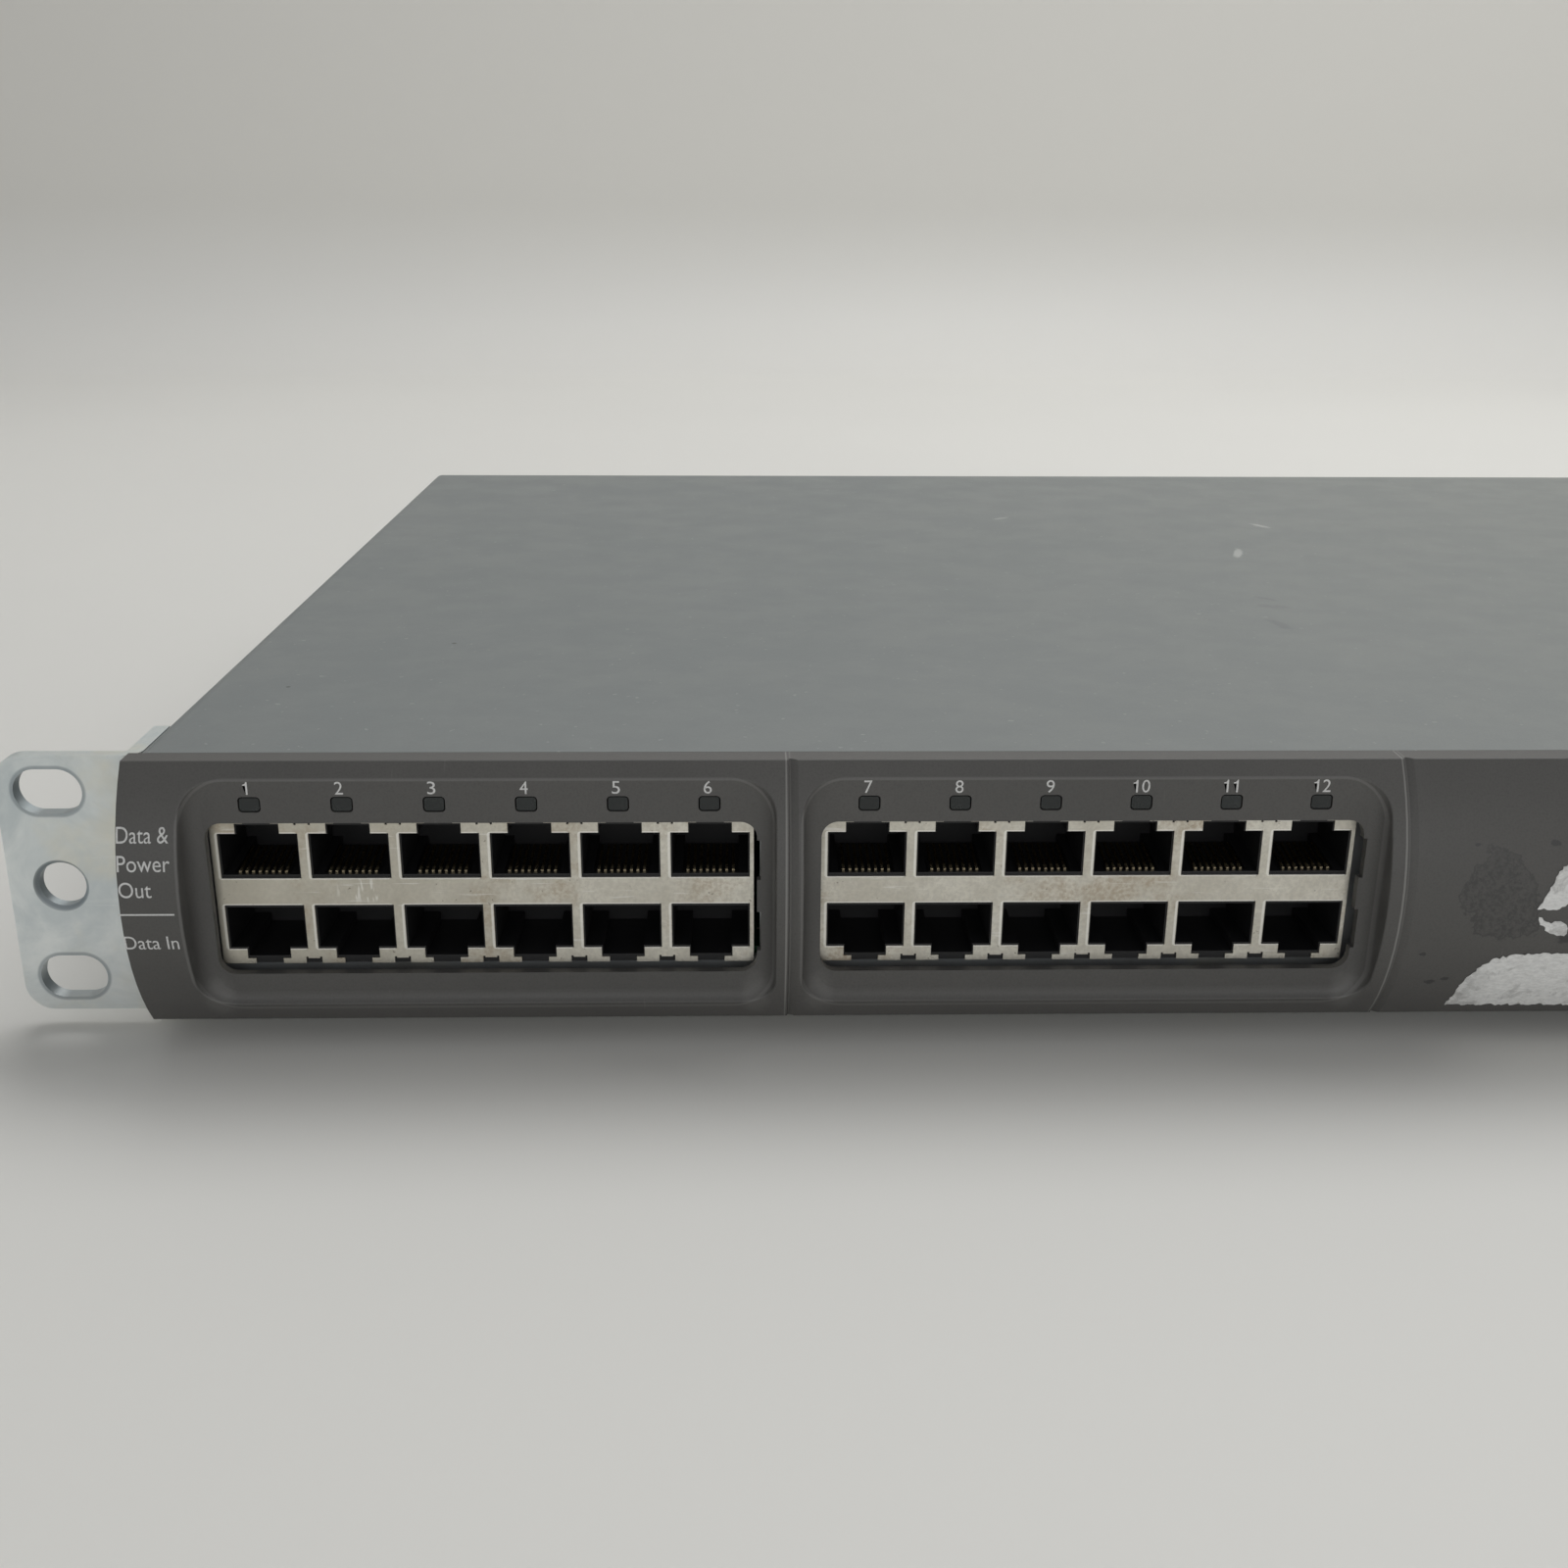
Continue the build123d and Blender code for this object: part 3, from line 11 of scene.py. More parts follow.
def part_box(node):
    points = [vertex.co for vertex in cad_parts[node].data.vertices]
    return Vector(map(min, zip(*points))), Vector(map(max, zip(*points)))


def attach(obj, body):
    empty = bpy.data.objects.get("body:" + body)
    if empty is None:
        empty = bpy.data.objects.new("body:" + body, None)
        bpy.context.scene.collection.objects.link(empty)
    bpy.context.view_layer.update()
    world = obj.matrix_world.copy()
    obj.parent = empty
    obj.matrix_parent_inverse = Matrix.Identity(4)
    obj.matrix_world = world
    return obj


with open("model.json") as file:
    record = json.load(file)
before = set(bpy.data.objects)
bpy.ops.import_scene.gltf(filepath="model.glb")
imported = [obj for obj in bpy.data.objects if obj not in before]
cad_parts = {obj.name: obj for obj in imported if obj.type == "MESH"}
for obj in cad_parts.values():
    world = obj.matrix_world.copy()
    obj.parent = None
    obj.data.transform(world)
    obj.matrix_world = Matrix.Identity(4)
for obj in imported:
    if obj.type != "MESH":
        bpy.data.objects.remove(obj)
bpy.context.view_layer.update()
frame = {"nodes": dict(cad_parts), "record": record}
nodes = frame["nodes"]
BODY = "case"
MM = 0.001

# ---------------------------------------------------------------- places, from the frame
left_low, left_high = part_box("left_jack_shield")
right_low, right_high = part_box("right_jack_shield")
bezel_low, bezel_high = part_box("front_bezel")
cover_low, cover_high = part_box("top_cover")
FACE_Y = left_low.y
MID_Z = (cover_low.z + cover_high.z) / 2
LEFT_X = (left_low.x + left_high.x) / 2
RIGHT_X = (right_low.x + right_high.x) / 2
GROOVE_X = (LEFT_X + RIGHT_X) / 2
BODY_X = (bezel_low.x + bezel_high.x) / 2
# The rest are in mm
BLOCK_X = (RIGHT_X - GROOVE_X) / MM
PORT_PITCH = 13.97
PORT_ROW_Z = 6.0
PORT_OPENING_HALF = (6.18, 3.75)
BEZEL_RADIUS = 35.0
BEZEL_BULGE = (FACE_Y - bezel_low.y) / MM
POCKET_FLOOR = -2.4
POCKET_RIM_HALF = (45.05, 19.0)
POCKET_RIM_Z = 0.3
POCKET_CORNER = 6.8
SECTION_WIDTH = 95.0
EAR_HOLE_X = 232.56
EAR_HOLE_Z = -1.15
EAR_SLOT_RISE = 15.875
EAR_SLOT_HALF = (5.33, 3.7)
EAR_HOLE_RADIUS = 3.7
EAR_CORNER = 3.69
COVER_TOP = 21.8
INK_LIFT = 0.03
DIGIT_FEET = 17.0
DIGIT_TOPS = 19.05
DIGIT_HALF_WIDTH = 0.62
DIGIT_PITCH = 1.5


def local(x, y, z):
    """A point given in mm from the groove between the blocks, the jack faces and the mid height."""
    return Vector((GROOVE_X + x * MM, FACE_Y + y * MM, MID_Z + z * MM))


# ---------------------------------------------------------------- camera
camera_data = bpy.data.cameras.new("camera")
camera_data.lens = 38.43
camera_data.sensor_width = 36.0
camera_data.clip_start = 0.01
camera_data.clip_end = 20.0
camera = bpy.data.objects.new("camera", camera_data)
bpy.context.scene.collection.objects.link(camera)
camera.matrix_world = (
    Matrix.Translation(local(-7.05, -242.84, 103.27))
    @ Matrix.Rotation(math.radians(-1.529), 4, "Z")
    @ Matrix.Rotation(math.radians(90.0 - 19.412), 4, "X")
    @ Matrix.Rotation(math.radians(0.370), 4, "Z")
)
bpy.context.scene.camera = camera


# ---------------------------------------------------------------- shader graphs
class Graph:
    """Short names for the nodes that the finishes below are made of."""

    def __init__(self, name):
        self.material = bpy.data.materials.new(name)
        self.material.use_nodes = True
        self.tree = self.material.node_tree
        self.shader = self.tree.nodes["Principled BSDF"]
        self.place = self.add("ShaderNodeTexCoord").outputs["Object"]

    def add(self, kind, **settings):
        node = self.tree.nodes.new(kind)
        for key, value in settings.items():
            setattr(node, key, value)
        return node

    def feed(self, socket, value):
        if isinstance(value, bpy.types.NodeSocket):
            self.tree.links.new(value, socket)
        else:
            socket.default_value = value

    def stretched(self, scale, turn=(0, 0, 0)):
        node = self.add("ShaderNodeMapping")
        self.feed(node.inputs["Vector"], self.place)
        node.inputs["Scale"].default_value = scale
        node.inputs["Rotation"].default_value = [math.radians(angle) for angle in turn]
        return node.outputs["Vector"]

    def noise(self, scale, detail=3.0, roughness=0.55, place=None, distortion=0.0):
        node = self.add("ShaderNodeTexNoise")
        self.feed(node.inputs["Vector"], self.place if place is None else place)
        node.inputs["Scale"].default_value = scale
        node.inputs["Detail"].default_value = detail
        node.inputs["Roughness"].default_value = roughness
        node.inputs["Distortion"].default_value = distortion
        return node.outputs["Fac"]

    def cells(self, scale, place=None, feature="F1"):
        node = self.add("ShaderNodeTexVoronoi", feature=feature)
        self.feed(node.inputs["Vector"], self.place if place is None else place)
        node.inputs["Scale"].default_value = scale
        return node.outputs["Distance"]

    def remap(self, value, low, high, to_low=0.0, to_high=1.0):
        node = self.add("ShaderNodeMapRange", interpolation_type="SMOOTHSTEP")
        self.feed(node.inputs["Value"], value)
        for name, number in (("From Min", low), ("From Max", high), ("To Min", to_low), ("To Max", to_high)):
            node.inputs[name].default_value = number
        return node.outputs["Result"]

    def maths(self, operation, a, b=0.0):
        node = self.add("ShaderNodeMath", operation=operation)
        self.feed(node.inputs[0], a)
        self.feed(node.inputs[1], b)
        return node.outputs[0]

    def mix(self, factor, a, b, blend="MIX"):
        node = self.add("ShaderNodeMix", data_type="RGBA", blend_type=blend)
        self.feed(node.inputs["Factor"], factor)
        self.feed(node.inputs["A"], (*a, 1.0) if isinstance(a, tuple) else a)
        self.feed(node.inputs["B"], (*b, 1.0) if isinstance(b, tuple) else b)
        return node.outputs["Result"]

    def along(self, axis, low, high):
        """0 to 1 along an axis between two places in metres."""
        node = self.add("ShaderNodeSeparateXYZ")
        self.feed(node.inputs[0], self.place)
        return self.remap(node.outputs[axis], low, high)

    def patch(self, centre, half, turn=0.0, ragged=0.0, grain=200.0, soft=0.25, axis=(0.0, 0.0, 1.0)):
        """A mask of 1 inside an ellipsoid, its outline broken up by noise."""
        away = self.add("ShaderNodeVectorMath", operation="SUBTRACT")
        self.feed(away.inputs[0], self.place)
        away.inputs[1].default_value = centre
        turned = self.add("ShaderNodeVectorRotate", rotation_type="AXIS_ANGLE")
        self.feed(turned.inputs["Vector"], away.outputs[0])
        turned.inputs["Axis"].default_value = axis
        turned.inputs["Angle"].default_value = math.radians(turn)
        sized = self.add("ShaderNodeVectorMath", operation="DIVIDE")
        self.feed(sized.inputs[0], turned.outputs[0])
        sized.inputs[1].default_value = [size * MM for size in half]
        length = self.add("ShaderNodeVectorMath", operation="LENGTH")
        self.feed(length.inputs[0], sized.outputs[0])
        distance = length.outputs["Value"]
        if ragged:
            broken = self.maths("SUBTRACT", self.noise(grain, 4.0, 0.65), 0.5)
            distance = self.maths("ADD", distance, self.maths("MULTIPLY", broken, ragged))
        return self.remap(distance, 1.0 - soft, 1.0 + soft, 1.0, 0.0)

    def vector(self, operation, a, b=(0.0, 0.0, 0.0), output=0):
        node = self.add("ShaderNodeVectorMath", operation=operation)
        self.feed(node.inputs[0], a)
        self.feed(node.inputs[1], b)
        return node.outputs[output]

    def from_place(self, centre):
        """The way from a place, in X and Z only."""
        return self.vector("MULTIPLY", self.vector("SUBTRACT", self.place, centre), (1.0, 0.0, 1.0))

    def rim(self, away, half, corner, width):
        """A mask of 1 along the outline of a rounded rectangle in X and Z, given in mm."""
        inset = ((half[0] - corner) * MM, 1.0, (half[1] - corner) * MM)
        past = self.vector("MAXIMUM", self.vector("SUBTRACT", self.vector("ABSOLUTE", away), inset))
        reach = self.vector("LENGTH", past, output="Value")
        distance = self.maths("ABSOLUTE", self.maths("SUBTRACT", reach, corner * MM))
        return self.remap(distance, width * 0.4 * MM, width * MM, 1.0, 0.0)

    def finish(self, colour=None, roughness=None, height=None, strength=0.2, depth=0.0001, **uniform):
        if colour is not None:
            self.feed(self.shader.inputs["Base Color"], colour)
        if roughness is not None:
            self.feed(self.shader.inputs["Roughness"], roughness)
        if height is not None:
            bump = self.add("ShaderNodeBump")
            bump.inputs["Strength"].default_value = strength
            bump.inputs["Distance"].default_value = depth
            self.feed(bump.inputs["Height"], height)
            self.feed(self.shader.inputs["Normal"], bump.outputs["Normal"])
        for name, value in uniform.items():
            self.shader.inputs[name.replace("_", " ")].default_value = value
        return self.material


# ---------------------------------------------------------------- finishes
def cover_paint():
    """Blue-grey powder paint: fine orange peel, faint clouds, a few scratches, scuffs and chips."""
    g = Graph("cover_paint")
    clouds = g.noise(9.0, 4.0, 0.6)
    colour = g.mix(g.remap(clouds, 0.3, 0.7), (0.180, 0.198, 0.198), (0.188, 0.205, 0.205))
    # Painted light: the paint turns lighter towards +X, the right, as if lit more there.
    colour = g.mix(g.along("X", -0.16, 0.20), colour, (0.226, 0.241, 0.230))
    grain = g.noise(2600.0, 2.0, 0.6)
    colour = g.mix(g.remap(grain, 0.35, 0.65, 0.0, 0.16), colour, (0.13, 0.14, 0.145))
    dust = g.remap(g.noise(700.0, 1.0, 0.5), 0.735, 0.78)
    colour = g.mix(g.maths("MULTIPLY", dust, 0.35), colour, (0.42, 0.43, 0.42))
    scratches = (
        ((113.4, 156.0), (1.0, 5.0), 18),
        ((129.3, 191.5), (0.9, 3.2), -30),
        ((62.4, 201.7), (0.5, 2.4), 55),
    )
    for (x, y), (across, length), turn in scratches:
        mark = g.patch(local(x, y, COVER_TOP), (across, length, 6.0), turn, 1.4, 900.0, 0.3)
        colour = g.mix(g.maths("MULTIPLY", mark, 0.7), colour, (0.48, 0.49, 0.47))
    scuffs = (
        ((105.4, 100.0), (3.2, 1.6), 24),
        ((101.8, 84.7), (1.3, 4.2), -12),
        ((106.0, 107.2), (3.0, 0.7), 50),
    )
    for (x, y), (across, length), turn in scuffs:
        mark = g.patch(local(x, y, COVER_TOP), (across, length, 6.0), turn, 2.6, 500.0, 0.4)
        colour = g.mix(g.maths("MULTIPLY", mark, 0.45), colour, (0.12, 0.13, 0.135))
    for x, y, size in ((-62.0, 69.7, 0.45), (-86.0, 39.8, 0.4), (180.0, 60.0, 0.5), (240.0, 180.0, 0.45)):
        mark = g.patch(local(x, y, COVER_TOP), (size, size, 3.0), 0, 0.8, 900.0, 0.3)
        colour = g.mix(g.maths("MULTIPLY", mark, 0.8), colour, (0.035, 0.035, 0.035))
    # Paint worn off along the long edges, most at the front left
    for x, y, length in ((-100.9, 18.6, 1.6), (-100.9, 46.5, 3.4), (-100.9, 59.8, 2.4), (-100.9, 141.0, 2.0),
                         (334.7, 33.0, 2.2), (334.7, 92.0, 1.4), (334.7, 171.0, 2.6)):
        mark = g.patch(local(x, y, 21.6), (0.9, length, 1.0), 0, 1.8, 1200.0, 0.15)
        colour = g.mix(mark, colour, (0.60, 0.61, 0.60))
    roughness = g.remap(g.noise(60.0, 3.0), 0.3, 0.7, 0.40, 0.52)
    peel = g.noise(1400.0, 2.0, 0.5)
    return g.finish(colour, roughness, peel, 0.16, 0.00006)


def bezel_plastic():
    """Warm dark grey moulded plastic with a fine spark texture, a glue stain and scuffs."""
    g = Graph("bezel_plastic")
    clouds = g.noise(22.0, 4.0, 0.6)
    colour = g.mix(g.remap(clouds, 0.3, 0.7), (0.082, 0.080, 0.076), (0.096, 0.093, 0.088))
    grain = g.noise(3200.0, 2.0, 0.7)
    colour = g.mix(g.remap(grain, 0.4, 0.7, 0.0, 0.3), colour, (0.052, 0.050, 0.048))
    roughness = g.remap(clouds, 0.3, 0.7, 0.46, 0.58)
    # Painted highlights: light lines along the pockets' rims and both edges of each groove, and soft light
    # patches in the pockets' lower corners
    for middle in (-BLOCK_X, BLOCK_X):
        rim = g.rim(g.from_place(local(middle, 0.0, POCKET_RIM_Z)), POCKET_RIM_HALF, POCKET_CORNER, 0.30)
        colour = g.mix(g.maths("MULTIPLY", rim, 0.2), colour, (0.30, 0.295, 0.285))
        for side in (-42.2, 42.2):
            painted_corner_highlight = g.patch(local(middle + side, -4.0, -16.8), (2.0, 8.0, 3.4), 0, 0.9, 900.0, 0.5)
            colour = g.mix(g.maths("MULTIPLY", painted_corner_highlight, 0.2), colour, (0.24, 0.235, 0.225))
    for middle in (0.0, SECTION_WIDTH, 2 * SECTION_WIDTH):
        for edge, weight in ((-0.28, 0.5), (0.30, 0.25)):
            painted_groove_highlight = g.patch(local(middle + edge, 0.0, 3.0), (0.16, 60.0, 26.0), 0, 0.0, 900.0, 0.3)
            colour = g.mix(g.maths("MULTIPLY", painted_groove_highlight, weight), colour, (0.32, 0.315, 0.30))
    # Old glue left by a torn-off label
    stain = g.patch(local(110.2, -6.0, 1.4), (5.7, 12.0, 7.0), 14, 1.5, 210.0, 0.07, (0.0, 1.0, 0.0))
    broken = g.remap(g.noise(420.0, 4.0, 0.7), 0.40, 0.50)
    outline = g.maths("MULTIPLY", g.maths("MULTIPLY", stain, g.maths("SUBTRACT", 1.0, stain)), 3.2)
    speckle = g.remap(g.noise(1500.0, 3.0, 0.7), 0.42, 0.60, 0.25, 0.85)
    stain = g.maths("MULTIPLY", stain, speckle)
    stain = g.maths("MULTIPLY", stain, g.maths("ADD", g.maths("MULTIPLY", broken, 0.4), 0.6))
    stain = g.maths("MAXIMUM", stain, outline)
    for x, z, size in ((102.0, -14.1, 1.0), (104.2, -13.4, 0.6), (99.5, -8.3, 0.6), (105.8, 9.9, 0.5),
                       (117.8, 10.1, 0.7), (121.5, -5.6, 1.2)):
        dot = g.patch(local(x, -6.5, z), (size, 12.0, size * 0.6), 0, 2.4, 700.0, 0.2)
        stain = g.maths("MAXIMUM", stain, dot)
    colour = g.mix(g.maths("MULTIPLY", stain, 0.72), colour, (0.028, 0.028, 0.029))
    roughness = g.maths("SUBTRACT", roughness, g.maths("MULTIPLY", stain, 0.14))
    scuff_lines = g.noise(60.0, 2.0, 0.5, g.stretched((14.0, 1.0, 1.4), (0, 24, 0)))
    scuff = g.maths("MULTIPLY", g.remap(scuff_lines, 0.74, 0.80), 0.14)
    colour = g.mix(scuff, colour, (0.25, 0.245, 0.235))
    return g.finish(colour, roughness, grain, 0.22, 0.00005)


def zinc(name, light, dark, warm, roughness, metal=0.75, holes=()):
    """Zinc plating: cloudy blue-white passivation with straw-coloured patches and rolled streaks."""
    g = Graph(name)
    clouds = g.noise(75.0, 5.0, 0.62, None, 0.6)
    colour = g.mix(g.remap(clouds, 0.32, 0.68), dark, light)
    straw = g.remap(g.noise(48.0, 4.0, 0.6), 0.50, 0.68)
    colour = g.mix(g.maths("MULTIPLY", straw, 0.75), colour, warm)
    spangle = g.remap(g.cells(420.0), 0.15, 0.6)
    colour = g.mix(g.maths("MULTIPLY", spangle, 0.12), colour, dark)
    streaks = g.noise(30.0, 3.0, 0.6, g.stretched((1.0, 3.0, 22.0)))
    colour = g.mix(g.remap(streaks, 0.62, 0.76, 0.0, 0.3), colour, light)
    if holes:
        # Painted shade: where holes are given (the rack ear), the colour darkens towards the top.
        shade = g.mix(0.3, colour, dark, "MULTIPLY")
        colour = g.mix(g.along("Z", MID_Z - 12 * MM, MID_Z + 18 * MM), colour, shade)
    for centre, half, corner in holes:
        punched = g.rim(g.from_place(centre), half, corner, 0.75)
        colour = g.mix(g.maths("MULTIPLY", punched, 0.6), colour, (0.20, 0.24, 0.27))
    rough = g.remap(clouds, 0.3, 0.7, roughness + 0.1, roughness - 0.06)
    height = g.maths("ADD", clouds, g.maths("MULTIPLY", streaks, 0.4))
    return g.finish(colour, rough, height, 0.10, 0.00008, Metallic=metal)


def tinned_steel():
    """Tin-plated spring sheet: warm grey, crystalline, handled, with brown tarnish and fine scratches."""
    g = Graph("tinned_steel")
    clouds = g.noise(120.0, 5.0, 0.65)
    colour = g.mix(g.remap(clouds, 0.3, 0.7), (0.62, 0.59, 0.51), (0.76, 0.735, 0.655))
    crystals = g.noise(1500.0, 3.0, 0.7)
    colour = g.mix(g.remap(crystals, 0.35, 0.65, 0.0, 0.4), colour, (0.47, 0.45, 0.40))
    aged = g.mix(0.55, colour, (0.47, 0.44, 0.36))
    colour = g.mix(g.along("X", left_low.x, right_low.x), aged, colour)
    tarnish = g.remap(g.noise(52.0, 5.0, 0.7), 0.52, 0.66)
    tarnish = g.maths("MULTIPLY", tarnish, g.remap(crystals, 0.38, 0.62, 0.3, 1.0))
    colour = g.mix(g.maths("MULTIPLY", tarnish, 0.55), colour, (0.40, 0.30, 0.19))
    pits = g.remap(g.noise(900.0, 2.0, 0.6), 0.70, 0.76)
    colour = g.mix(g.maths("MULTIPLY", pits, 0.6), colour, (0.16, 0.13, 0.10))
    fine = g.noise(260.0, 2.0, 0.6, g.stretched((0.35, 1.0, 6.0), (0, 32, 0)))
    crossing = g.noise(300.0, 2.0, 0.6, g.stretched((0.3, 1.0, 5.0), (0, -38, 0)))
    fine = g.maths("MAXIMUM", g.remap(fine, 0.66, 0.72), g.remap(crossing, 0.68, 0.74))
    colour = g.mix(g.maths("MULTIPLY", fine, 0.4), colour, (0.86, 0.85, 0.82))
    # Painted highlights along the edges round every opening: both blocks and both rows are folded onto one
    # opening
    folded = g.add("ShaderNodeSeparateXYZ")
    g.feed(folded.inputs[0], g.from_place(local(0.0, 0.0, 0.0)))
    edge_x = (BLOCK_X - 3 * PORT_PITCH) * MM
    column = g.maths("SUBTRACT", g.maths("ABSOLUTE", folded.outputs["X"]), edge_x)
    column = g.maths("MODULO", column, PORT_PITCH * MM)
    row = g.maths("SUBTRACT", g.maths("ABSOLUTE", folded.outputs["Z"]), PORT_ROW_Z * MM)
    opening = g.add("ShaderNodeCombineXYZ")
    g.feed(opening.inputs["X"], g.maths("SUBTRACT", column, PORT_PITCH / 2 * MM))
    g.feed(opening.inputs["Z"], row)
    # Where a cable's latch has scraped the bar below one jack
    scraped = g.patch(local(-66.0, 0.0, 0.3), (4.2, 3.0, 1.9), 0, 0.5, 300.0, 0.3)
    strokes = g.remap(g.noise(420.0, 2.0, 0.6, g.stretched((3.0, 1.0, 0.5), (0, -28, 0))), 0.54, 0.60)
    scraped = g.maths("MULTIPLY", g.maths("MULTIPLY", scraped, strokes), 0.6)
    colour = g.mix(scraped, colour, (0.90, 0.89, 0.84))
    painted_edge_highlight = g.rim(opening.outputs[0], PORT_OPENING_HALF, 0.3, 0.26)
    colour = g.mix(g.maths("MULTIPLY", painted_edge_highlight, 0.65), colour, (0.95, 0.94, 0.89))
    rough = g.remap(clouds, 0.3, 0.7, 0.44, 0.34)
    height = g.maths("ADD", crystals, g.maths("MULTIPLY", fine, 0.8))
    return g.finish(colour, rough, height, 0.16, 0.00006, Metallic=0.82)


def moulding(name, colour, roughness=0.5, spread=0.12, scale=300.0, bump=0.12, **uniform):
    """A moulded, coated or turned finish: slight colour clouds, a fine grain and uneven gloss."""
    g = Graph(name)
    clouds = g.noise(scale * 0.2, 4.0, 0.6)
    grain = g.noise(scale * 6.0, 2.0, 0.6)
    darker = tuple(channel * (1.0 - spread) for channel in colour)
    lighter = tuple(min(channel * (1.0 + spread), 1.0) for channel in colour)
    shade = g.mix(g.remap(clouds, 0.3, 0.7), darker, lighter)
    shade = g.mix(g.remap(grain, 0.4, 0.7, 0.0, 0.35), shade, darker)
    rough = g.remap(clouds, 0.3, 0.7, roughness - 0.05, roughness + 0.06)
    return g.finish(shade, rough, grain, bump, 0.00005, **uniform)


def turned(name, colour, ridge, axis, roughness=0.32):
    """Plated metal with fine ridges across an axis, as threads or windings have."""
    g = Graph(name)
    wave = g.add("ShaderNodeTexWave", bands_direction=axis)
    g.feed(wave.inputs["Vector"], g.place)
    wave.inputs["Scale"].default_value = 1.0 / ridge / 3.2
    wave.inputs["Distortion"].default_value = 0.3
    clouds = g.noise(400.0, 3.0)
    # Painted shade: the valleys between the ridges are coloured darker.
    darker = tuple(channel * 0.62 for channel in colour)
    ridged = g.maths("MULTIPLY", wave.outputs["Fac"], g.remap(clouds, 0.2, 0.8, 0.7, 1.0))
    shade = g.mix(ridged, darker, colour)
    return g.finish(shade, g.remap(clouds, 0.3, 0.7, roughness, roughness + 0.12), wave.outputs["Fac"], 0.6,
                    ridge * 0.3, Metallic=0.9)


def contact_gold():
    """Gold-plated spring contacts: bright gold at their front bends, with painted shade darkening them
    further into the jack.
    """
    g = Graph("contact_gold")
    wear = g.remap(g.noise(900.0, 3.0), 0.3, 0.7, 0.85, 1.0)
    bright = g.mix(wear, (0.60, 0.46, 0.26), (0.92, 0.78, 0.52))
    # Painted shade: the contacts turn dark from 1.7 to 3.2 mm behind the jack faces.
    colour = g.mix(g.along("Y", FACE_Y + 1.7 * MM, FACE_Y + 3.2 * MM), bright, (0.16, 0.115, 0.055))
    return g.finish(colour, g.remap(wear, 0.85, 1.0, 0.36, 0.24), wear, 0.05, 0.00003, Metallic=0.95)


def board_laminate():
    """Green solder mask over a faint pattern of copper runs, with small pale pads."""
    g = Graph("board_laminate")
    across = g.cells(170.0, g.stretched((1.0, 0.12, 1.0)))
    colour = g.mix(g.remap(across, 0.28, 0.34), (0.018, 0.13, 0.052), (0.03, 0.19, 0.075))
    pads = g.remap(g.cells(260.0), 0.10, 0.13, 1.0, 0.0)
    colour = g.mix(g.maths("MULTIPLY", pads, 0.8), colour, (0.62, 0.60, 0.52))
    return g.finish(colour, g.remap(g.noise(90.0), 0.3, 0.7, 0.28, 0.4), across, 0.1, 0.00005)


def paper():
    """The torn body of an old label: white fibres, thin grey places and yellow-brown dirt spots."""
    g = Graph("torn_paper")
    fibres = g.noise(900.0, 5.0, 0.7, g.stretched((1.0, 1.0, 2.4), (0, 20, 0)))
    colour = g.mix(g.remap(fibres, 0.35, 0.65), (0.68, 0.68, 0.665), (0.82, 0.82, 0.805))
    worn = g.maths("MULTIPLY", g.remap(g.noise(240.0, 5.0, 0.7), 0.40, 0.56), 0.6)
    delaminated = g.mix(worn, colour, (0.30, 0.30, 0.29))
    colour = g.mix(g.along("X", local(106.0, 0, 0).x, local(113.0, 0, 0).x), delaminated, colour)
    thin = g.remap(g.noise(210.0, 5.0, 0.7, None, 0.8), 0.50, 0.66)
    colour = g.mix(g.maths("MULTIPLY", thin, 0.5), colour, (0.30, 0.295, 0.285))
    dirt = g.remap(g.noise(620.0, 3.0, 0.6), 0.66, 0.74)
    colour = g.mix(g.maths("MULTIPLY", dirt, 0.35), colour, (0.20, 0.18, 0.15))
    return g.finish(colour, g.remap(fibres, 0.3, 0.7, 0.75, 0.9), fibres, 0.5, 0.0001)


def printed_ink():
    """White screen-printed ink, slightly broken up by the plastic's texture."""
    g = Graph("printed_ink")
    grain = g.noise(3000.0, 2.0, 0.7)
    colour = g.mix(g.remap(grain, 0.45, 0.75), (0.66, 0.66, 0.65), (0.48, 0.48, 0.47))
    return g.finish(colour, g.remap(grain, 0.3, 0.7, 0.5, 0.65), grain, 0.2, 0.00004)


ear_holes = []
for side in (-1, 1):
    hole_x = BODY_X + side * EAR_HOLE_X * MM
    for rise in (-EAR_SLOT_RISE, EAR_SLOT_RISE):
        slot_centre = Vector((hole_x, 0.0, MID_Z + (rise + EAR_HOLE_Z) * MM))
        ear_holes.append((slot_centre, EAR_SLOT_HALF, EAR_CORNER))
    hole_centre = Vector((hole_x, 0.0, MID_Z + EAR_HOLE_Z * MM))
    ear_holes.append((hole_centre, (EAR_HOLE_RADIUS, EAR_HOLE_RADIUS), EAR_CORNER))

